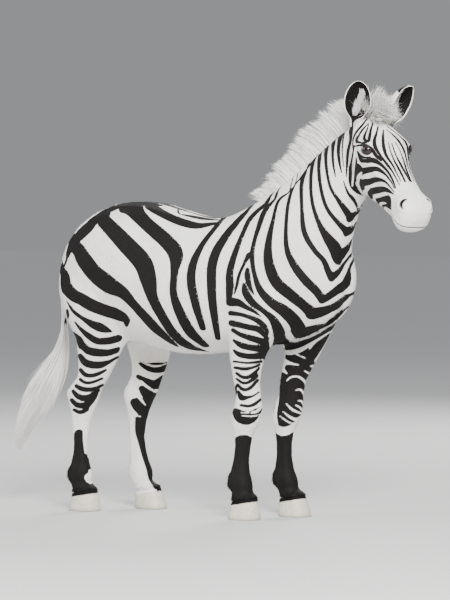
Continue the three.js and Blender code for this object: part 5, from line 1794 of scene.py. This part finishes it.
def hoof(leg):
    low, high = [np.array(corner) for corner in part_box(f"hoof_{leg}")]
    bottom, half = (low + high) / 2, (high - low) / 2
    coronet = leg_middle(leg, CORONET)
    angle = round_angles(HOOF_SIDES)
    c, s = np.cos(angle), np.sin(angle)
    top = hairline((1 + c) / 2)
    heel = 1 - 0.10 * bell(angle - np.pi, 0.22)
    rings = []
    for t in np.arange(HOOF_RINGS + 1) / HOOF_RINGS:
        middle = bottom[:2] + (coronet - bottom[:2]) * t * [0.9, 1.0]
        narrow = 1 - 0.235 * t + 0.012 * np.sin(np.pi * t)
        growth = 1 + 0.0022 * np.sin(t * 40) + 0.0015 * np.sin(t * 97)
        rounding = 1 - 0.05 * np.exp(-t * 40)
        reach = np.sign(c) * np.abs(c) ** 0.92 * half[0] * narrow * growth * rounding * heel
        wide = np.sign(s) * np.abs(s) ** 0.95 * half[1] * narrow * growth * rounding
        rings.append(np.column_stack([middle[0] + reach, middle[1] + wide, t * top]))
    last = rings[-1]
    inner = last.mean(0) + (last - last.mean(0)) * [0.86, 0.86, 1] + [0, 0, 0.003]
    rings += [last + [0, 0, 0.002], inner]
    piece = new_object(f"hoof_{leg}_horn", *loft(rings))
    places = read_points(piece.data)
    toe = np.clip(0.5 + (places[:, 0] - bottom[0] - 0.9 * (coronet[0] - bottom[0])) / (1.53 * half[0]), 0, 1)
    # how much darker and browner the horn is, towards the ground
    write_attribute(piece.data, "near_ground", np.clip(0.55 - places[:, 2] / 0.03, 0, 0.5))
    write_attribute(piece.data, "share", places[:, 2] / hairline(toe))
    low_skin = np.flatnonzero((points[:, 2] < 0.14) & (np.hypot(*(points[:, :2] - coronet).T) < 0.09))
    gaps = np.linalg.norm(places[:, None] - points[low_skin][None], axis=2)
    write_attribute(piece.data, "dark", (black[low_skin][gaps.argmin(1)] > 0) * 1.0)
    return finish_piece(piece, pale_horn, "hoof_horn", f"hoof_{leg}")


for leg in LEG_NAMES:
    hoof(leg)
print("hooves:", len(LEG_NAMES), "with an edge from", HOOF_TOP_HEEL, "to", HOOF_TOP_TOE, "m high")

# %% [markdown]
# ## Long hair
# Mane, forelock and tail are built as thousands of thin tapering locks. A particle system would be quick
# to comb, but its hairs vanish on export and can't be measured, so every lock is real mesh here.
# One helper turns a bundle of centre lines into flat, pointed locks, all at once on arrays.

# %% A bundle of locks
LOCK_SHAPE = np.array([0.75, 1.0, 1.0, 0.88, 0.62, 0.28, 0.02])  # width from root to tip
FACE_CORNERS = np.array([(0, 0), (1, 0), (1, 1), (0, 1)], float)


def locks(name, lines, flat, width, thick, finish, slot_name, sides=4):
    """Flat tapering locks. lines: (locks, steps, 3); flat: (locks, 3), the way their width lies."""
    count, steps = lines.shape[:2]
    along = unit(np.gradient(lines, axis=1), 1e-12)
    flat = np.broadcast_to(flat[:, None], lines.shape)
    wide = unit(flat - along * np.sum(flat * along, axis=2)[..., None], 1e-12)
    deep = np.cross(along, wide)
    shape = np.interp(np.linspace(0, 1, steps), np.linspace(0, 1, len(LOCK_SHAPE)), LOCK_SHAPE)
    w = (width[:, None] * shape / 2)[..., None]
    d = (thick[:, None] * np.maximum(shape, 0.05) / 2)[..., None]
    rings = [lines + wide * w * np.cos(a) + deep * d * np.sin(a) for a in round_angles(sides)]
    piece = fast_object(name, np.stack(rings, axis=2).reshape(-1, 3), strip_faces(count, steps, sides))
    step, side = np.meshgrid(np.arange(steps - 1), np.arange(sides), indexing="ij")
    cell = np.stack([side, step], axis=-1).reshape(-1, 1, 2)
    write_tuft_map(piece.data, lines[:, 0], ((cell + FACE_CORNERS) / [sides, steps - 1]).reshape(1, -1, 2))
    write_attribute(piece.data, "along", np.tile(np.repeat(np.linspace(0, 1, steps), sides), count))
    write_attribute(piece.data, "own", np.repeat(np.random.default_rng(3).random(count), steps * sides))
    return finish_piece(piece, finish, slot_name)


def hair_finish(name, root, tip):
    """Hair painted a little darker at its root, as painted shade deep among the hairs, with each lock of its
    own tone.
    """
    hair = Finish(name)
    tone = hair.spread(hair.attribute("own"), 0.0, 1.0, 0.88, 1.05)
    colour = hair.mix(1.0, hair.mix(hair.attribute("along"), root, tip), tone, "MULTIPLY")
    return hair.shade({"Base Color": colour, "Roughness": 0.55, "Specular IOR Level": 0.3})


# root colour: painted shade where the hairs crowd at the root; tip colour: the hair's own white
white_hair = hair_finish("white_hair", (0.80, 0.77, 0.71), (0.92, 0.91, 0.88))


def long_hair(name, lines, flat, width, thick, random):
    """Locks of white hair, each of its own size."""
    size = 0.6 + 0.8 * random.random(len(lines))
    return locks(name, lines, flat, width * size, thick * size, white_hair, "long_hair")


def bent(roots, up, length, bend, steps=7):
    """Centre lines that start along `up` and bend by `bend` (a vector each, at the tip)."""
    t = np.linspace(0, 1, steps)[None, :, None]
    return roots[:, None] + up[:, None] * length[:, None, None] * t + bend[:, None] * t**2.0


def line_share(rows):
    """How far along a line each of its rows lies, from 0 to 1, and how long the line is."""
    gone = np.insert(np.cumsum(np.linalg.norm(np.diff(rows, axis=0), axis=1)), 0, 0)
    return gone / gone[-1], gone[-1]


def on_line(t, share, rows):
    """The places at t on a line whose rows lie at the given shares."""
    return np.stack([np.interp(t, share, rows[:, k]) for k in range(3)], axis=-1)

# %% [markdown]
# ## Mane
# The mane is a stiff upright brush along the crest, from the withers to between the ears. The hairs
# stand in clumps whose tips meet, lean back a little, and are shorter towards the withers.

# %% The crest's line and the mane
CREST_FROM, CREST_TO = 0.135, 0.655
CREST_STEPS = 60
MANE_LOW, MANE_RISE = 0.050, 0.080  # metres: the least height, and what the middle of the neck adds
CLUMPS = 46
MANE_ROOT = 0.012  # how deep the hair starts in the skin


def crest():
    """The line along the top of the neck, found by rays from above."""
    rows = []
    for x in np.linspace(CREST_FROM, CREST_TO, CREST_STEPS):
        y = MIDDLE
        for _ in range(3):
            hit = tree.ray_cast(Vector((x, y, 2.5)), Vector((0, 0, -1)))[0]
            y = MIDDLE + neck_lean(x, hit.z)
        rows.append([x, y, hit.z])
    rows = np.array(rows)
    for axis in (1, 2):
        rows[2:-2, axis] = np.convolve(rows[:, axis], np.ones(5) / 5, "valid")
    return rows


crest_line = crest()
crest_share, crest_length = line_share(crest_line)


def along_crest(t):
    """Places, directions along, and directions up, at shares t of the crest."""
    at, ahead, behind = [on_line(t + step, crest_share, crest_line) for step in (0, 0.02, -0.02)]
    along = unit(ahead - behind)
    up = np.cross(along, [0, 1.0, 0])
    up *= np.sign(up[:, 2:])
    return at, along, unit(up)


def sideways(values):
    """Numbers as vectors to the animal's left."""
    return np.column_stack([0 * values, values, 0 * values])


def mane(name, count, width, thick, wild, seed):
    random = np.random.default_rng(seed)
    t = np.sort(random.random(count))
    row = random.uniform(-1, 1, count)
    at, along, up = along_crest(t)
    half_wide = 0.013 * np.clip(t / 0.15, 0.4, 1)
    roots = at + sideways(row * half_wide) - up * MANE_ROOT
    clump = np.round(t * CLUMPS + 0.35 * random.normal(size=count))
    lift = np.random.default_rng(5).random(CLUMPS + 1)
    rise = np.minimum.reduce([np.ones_like(t), t / 0.62, (1 - t) / 0.06 + 0.7])
    tall = (MANE_LOW + MANE_RISE * rise) * (0.80 + 0.34 * lift[np.clip(clump, 0, CLUMPS).astype(int)])
    tall *= 1.06 - 0.22 * np.clip(np.abs(clump / CLUMPS - t) * CLUMPS, 0, 1.4)
    tall *= 1 - wild * 0.5 * random.random(count) ** 2
    gather = (clump / CLUMPS - t) * crest_length * 0.88
    back = -0.30 * tall + wild * 0.02 * random.normal(size=count)
    side = row * (0.006 + 0.012 * random.random(count)) + wild * 0.008 * random.normal(size=count)
    lines = bent(roots, up, tall + MANE_ROOT, along * (gather + back)[:, None] + sideways(side))
    flat = along + sideways(0.4 * random.normal(size=count))
    return long_hair(name, lines, flat, width, thick, random)


mane_locks = mane("mane_locks", 1300, 0.010, 0.003, 0.35, 21)
mane_hairs = mane("mane_hairs", 3600, 0.0022, 0.0012, 1.0, 22)
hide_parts("mane")
print("mane:", len(mane_locks.data.polygons) + len(mane_hairs.data.polygons), "faces")

# %% [markdown]
# ## Forelock
# Where the mane runs out between the ears it falls apart into a fan: the hindmost hairs stand up, the
# foremost lean over the forehead. It is made in the head's own frame, in millimetres, as it turns with it.

# %% The forelock
def forelock(name, count, width, thick, wild, seed):
    random = np.random.default_rng(seed)
    ahead = random.random(count)
    turn = random.uniform(-1, 1, count)
    roots = np.column_stack([-46 + 82 * ahead, turn * (40 - 16 * ahead), 0 * ahead])
    out = np.column_stack([-0.26 + 0.62 * ahead, 0.10 + 0.42 * turn, 0.92 + 0 * ahead])
    out = unit(out + wild * 0.10 * random.normal(size=(count, 3)))
    tall = (166 - 34 * ahead) * (1 - 0.22 * turn**2) * (1 - wild * 0.4 * random.random(count) ** 2)
    for root in roots:
        hit = tree.ray_cast(Vector(from_head([*root[:2], 260])), Vector(-head_axes[:, 2]))[0]
        root[2] = in_head(np.array(hit))[2] - 6
    clump = np.round(turn * 5 + ahead * 2)
    tall *= 1 - 0.16 * np.abs(np.sin(clump * 1.7))
    bend = np.column_stack([22 + 14 * ahead, 16 * np.sin(clump * 2.3) - 6 * turn, -12 - 14 * ahead])
    bend += wild * 7 * random.normal(size=(count, 3))
    lines = from_head(bent(roots, out, tall, bend))
    flat = np.array([0.4, 1.0, 0.0]) @ head_axes.T + 0.35 * random.normal(size=(count, 3))
    return long_hair(name, lines, flat, width, thick, random)


forelock_locks = forelock("forelock_locks", 420, 0.009, 0.003, 0.5, 31)
forelock("forelock_hairs", 1500, 0.0018, 0.0011, 1.2, 32)
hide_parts("forelock")
print("forelock:", len(forelock_locks.data.polygons), "faces in its locks")

# %% [markdown]
# ## Hair in the ears
# Long white hair grows from the wall of the cup next to the forehead and is combed up and over its rim.
# It keeps dust and flies out, and from the front it hides about half of the dark inside.

# %% The brush of hair in each ear
def ear_brush(name, count, seed):
    random = np.random.default_rng(seed)
    side = EARS[name][0]
    axes = ear_axes(*EARS[name])
    t = 0.04 + 0.58 * random.random(count)
    turn = -side * (0.36 * random.random(count) - 0.42 + 0.62 * t)
    roots = ear_point(axes, t, turn, np.full(count, EAR_WALL * 0.8))
    _, up, out, across = axes
    inward = out - np.sign(turn)[:, None] * across * 0.5
    way = up * 0.86 + inward * (0.46 + 0.3 * t)[:, None] + 0.07 * random.normal(size=(count, 3))
    long = (34 + 20 * random.random(count)) * (1 - 0.8 * t)
    rise = 12 * random.random(count)
    fall = (9 + 5 * random.random(count)) * (1 - 1.5 * t)
    lines = from_head(bent(roots, unit(way), long, up * rise[:, None] - inward * fall[:, None]))
    flat = (across + 0.3 * random.normal(size=(count, 3))) @ head_axes.T
    size = 0.7 + 0.6 * random.random(count)
    return locks(f"{name}_brush", lines, flat, 0.0042 * size, 0.0016 * size, white_hair, "ear_coat")


brushes = [ear_brush("ear_right", 330, 50), ear_brush("ear_left", 330, 52)]
print("ear brushes:", sum(len(b.data.polygons) for b in brushes), "faces")

# %% [markdown]
# ## Tail
# The upper half of the tail is a fleshy dock with short striped hair. From its lower part hangs a tuft
# of long hair that swells like a leaf, sways back and ends in two thin points, one of them curled.

# %% The tail's line and its tuft
TAIL_LINE = [
    (-0.782, 0.036, 1.178), (-0.832, 0.036, 1.130), (-0.860, 0.036, 1.040), (-0.864, 0.032, 0.940),
    (-0.858, 0.028, 0.840), (-0.864, 0.024, 0.740), (-0.890, 0.018, 0.640), (-0.934, 0.012, 0.545),
    (-0.988, 0.006, 0.455), (-1.044, 0.002, 0.362), (-1.078, 0.0, 0.280), (-1.086, 0.0, 0.236),
]
# The curl at the end: (across, up) on the sheet
TAIL_CURL = [(-75.4, 47.5), (-76.2, 43.0), (-77.0, 38.5), (-77.3, 35.6), (-76.0, 33.4), (-73.6, 34.0)]
TAIL_STEPS, CURL_STEPS = 12, 16


def line_through(places, step):
    """A smooth line through places, without the widths of a stroke."""
    return flowing([(*place, 0.0) for place in places], step)[:, :3]


tail_rows = line_through(TAIL_LINE, 0.01)
tail_share, tail_length = line_share(tail_rows)


def tail_hair(name, count, width, thick, wild, seed):
    random = np.random.default_rng(seed)
    start = 0.385 + 0.16 * random.random(count) ** 0.8
    end = np.minimum(0.995, start + 0.28 + 0.36 * random.random(count))
    turn = random.uniform(0, 2 * np.pi, count)
    s = np.linspace(0, 1, TAIL_STEPS)[None, :]
    t = start[:, None] + (end - start)[:, None] * s
    middle = on_line(t, tail_share, tail_rows)
    way = unit(np.gradient(middle, axis=1))
    across = np.array([0, 1.0, 0])
    deep = unit(np.cross(way, across))
    spread = 0.082 * (0.35 + 0.65 * random.random(count))[:, None]
    leaf = np.sin(np.pi * np.clip((t - 0.36) / 0.64, 0, 1) ** 0.86) ** 1.3
    away = 0.008 + spread * leaf * s**0.8
    wave = 0.006 * np.sin(9 * t + 4 * turn[:, None]) * s * (0.5 + wild)
    lines = middle + across * ((away * 0.6) * np.cos(turn)[:, None] + wave)[..., None]
    lines = lines + deep * (away * np.sin(turn)[:, None] + wave)[..., None]
    lines += wild * 0.006 * random.normal(size=(count, 1, 3)) * s[..., None]
    flat = sideways(-np.sin(turn)) - deep[:, 0] * np.cos(turn)[:, None]
    return long_hair(name, lines, flat, width, thick, random)


def tail_curl(name, count, seed):
    """A few locks that leave the tuft and end in a small hook."""
    random = np.random.default_rng(seed)
    path = [*on_line(np.array([0.6, 0.7]), tail_share, tail_rows)]
    for across, up in TAIL_CURL:
        way = through_sheet(across, up) - painter
        path.append(painter + way * (TAIL_LINE[-1][1] - painter[1]) / way[1])
    rows = line_through(path, 0.012)
    ends = 0.9 + 0.1 * random.random(count)
    s = np.linspace(0, 1, CURL_STEPS)[None, :] * ends[:, None]
    lines = on_line(s, np.linspace(0, 1, len(rows)), rows)
    offset = random.normal(size=(count, 1, 3)) * [0.007, 0.006, 0.003]
    lines += offset * (1 - 0.75 * s)[..., None]
    flat = random.normal(size=(count, 3))
    return locks(name, lines, flat, np.full(count, 0.005), np.full(count, 0.003), white_hair, "long_hair")


tail_locks = tail_hair("tail_locks", 620, 0.012, 0.004, 0.5, 41)
tail_hair("tail_hairs", 2200, 0.0024, 0.0014, 1.0, 42)
tail_curl("tail_curl", 70, 43)
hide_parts("tail_tuft")
print("tail:", round(float(tail_length), 3), "m long along its bends")

# %% [markdown]
# ## Short hair
# A zebra's summer coat is short and lies flat, so most of it is only a fine bump in the finish. Where the
# form ends against the light, single tufts show: along belly and breast, at the backs of the legs,
# over the hooves, on the chin. Each tuft is a small pointed blade that starts in the
# skin, follows the run of the coat and takes its black or white from the skin at its root.

# %% How the coat runs and how long it is
CORONET_HAIR = 0.108  # below this height the hair hangs over the hoof


def coat_run(outward, places, part):
    """The way the hair lies: back and down on the trunk, down the legs, away from the muzzle on the head."""
    neck = np.clip((places[:, 0] - 0.25) / 0.2, 0, 1)[:, None]
    way = np.array([-1.0, 0.0, -0.35]) * (1 - neck) + np.array([-0.35, 0.0, -1.0]) * neck
    way[part >= ON_TAIL] = [-0.15, 0.0, -1.0]
    way[part == ON_HEAD] = -head_axes[:, 0]
    way -= outward * np.sum(way * outward, axis=1)[:, None]
    return unit(way, 1e-9)


def coat_length(outward, places, part):
    """The length of the tufts in metres."""
    leg = part >= ON_LEG
    behind = leg & (outward[:, 0] < -0.5)
    under = np.clip(-outward[:, 2], 0, 1) * bell(places[:, 1] - MIDDLE, 0.05)
    long = 0.0085 + 0.010 * under * (part == 0)
    for where, length in (
        (part == ON_HEAD, 0.0036),
        ((part == ON_HEAD) & (in_head(places)[:, 2] < -60), 0.005),  # the jaw
        (leg, 0.0055),
        (behind, 0.009),
        (behind & (places[:, 2] < 0.20), 0.016),  # the fetlock
        (leg & (places[:, 2] < CORONET_HAIR), 0.011),
    ):
        long[where] = length
    return long

# %% Scatter the tufts
SHORT_TUFTS = 52000
TUFTS_A_PIECE = 13000
BLADE_STEPS = BLADE_SIDES = 3
FIRST_SEED = 80
TUFT_WISH = np.array([1.0, 3.0, 1.5, 2.2, 2.2, 2.2, 2.2])  # how thick they stand, by part
LONG_WISH = 2.5  # how many more stand where the hair is long, and at the coronet
BARE_EYE, BARE_NOSTRIL = 0.044, 34  # no tufts this close to an eye (metres) or a nostril (millimetres)
BARE_HORN = 0.072  # nor below this height, within the hooves

face_part = patch // SIDES
face_size = read(skin_faces, "area")
long_there = coat_length(facing, middles, face_part)
wish = face_size * TUFT_WISH[face_part]
at_coronet = (face_part >= ON_LEG) & (middles[:, 2] < CORONET_HAIR)
wish *= 1 + LONG_WISH * (long_there > 0.012) + LONG_WISH * at_coronet
nostrils = [[NOSTRIL["at"][0], side * NOSTRIL["at"][1], NOSTRIL["at"][2]] for side in (-1, 1)]
eye_gap = np.min([np.linalg.norm(middles - eye_middle(side), axis=1) for side in (-1, 1)], axis=0)
nostril_gap = np.min([np.linalg.norm(in_head(middles) - at, axis=1) for at in nostrils], axis=0)
wish[(eye_gap < BARE_EYE) | (middles[:, 2] < BARE_HORN)] = 0
wish[(nostril_gap < BARE_NOSTRIL) & (face_part == ON_HEAD)] = 0
chosen = np.random.default_rng(77).choice(count, SHORT_TUFTS, p=wish / wish.sum())
face_mark = np.add.reduceat(np.clip(black / FAR, -1, 1)[loop_vertex], np.cumsum(loop_total) - loop_total)
face_mark /= loop_total


def short_tufts(name, faces, seed):
    random = np.random.default_rng(seed)
    count = len(faces)
    outward, at, part = facing[faces], middles[faces], face_part[faces]
    long = coat_length(outward, at, part) * (0.75 + 0.5 * random.random(count))
    run = coat_run(outward, at, part) + 0.16 * random.normal(size=(count, 3))
    off = np.sqrt(face_size[faces])[:, None] * random.uniform(-0.5, 0.5, (count, 3))
    roots = at + off - outward * np.sum(off * outward, axis=1)[:, None] - outward * 0.0008
    lift = 0.26 + 0.16 * random.random(count)
    way = unit(run + outward * lift[:, None])
    lines = bent(roots, way, long, -outward * (long * 0.12)[:, None], BLADE_STEPS)
    wide, thick = 0.16 * long + 0.0007, 0.05 * long + 0.0003
    flat = np.cross(run, outward)
    piece = locks(name, lines, flat, wide, thick, striped_coat, "striped_coat", BLADE_SIDES)
    write_attribute(piece.data, "mark", np.repeat(face_mark[faces], BLADE_STEPS * BLADE_SIDES))


for start in range(0, SHORT_TUFTS, TUFTS_A_PIECE):
    own = chosen[start : start + TUFTS_A_PIECE]
    short_tufts(f"short_coat_{start // TUFTS_A_PIECE + 1}", own, FIRST_SEED + start)
print("short tufts:", SHORT_TUFTS)

# %% Count
shown = [piece for piece in bpy.context.view_layer.objects if piece.type == "MESH"]
sizes = {piece.name: sum(len(face.vertices) - 2 for face in piece.data.polygons) for piece in shown}
print("triangles of the finest pieces:", {name: size for name, size in sizes.items() if size > 6000})
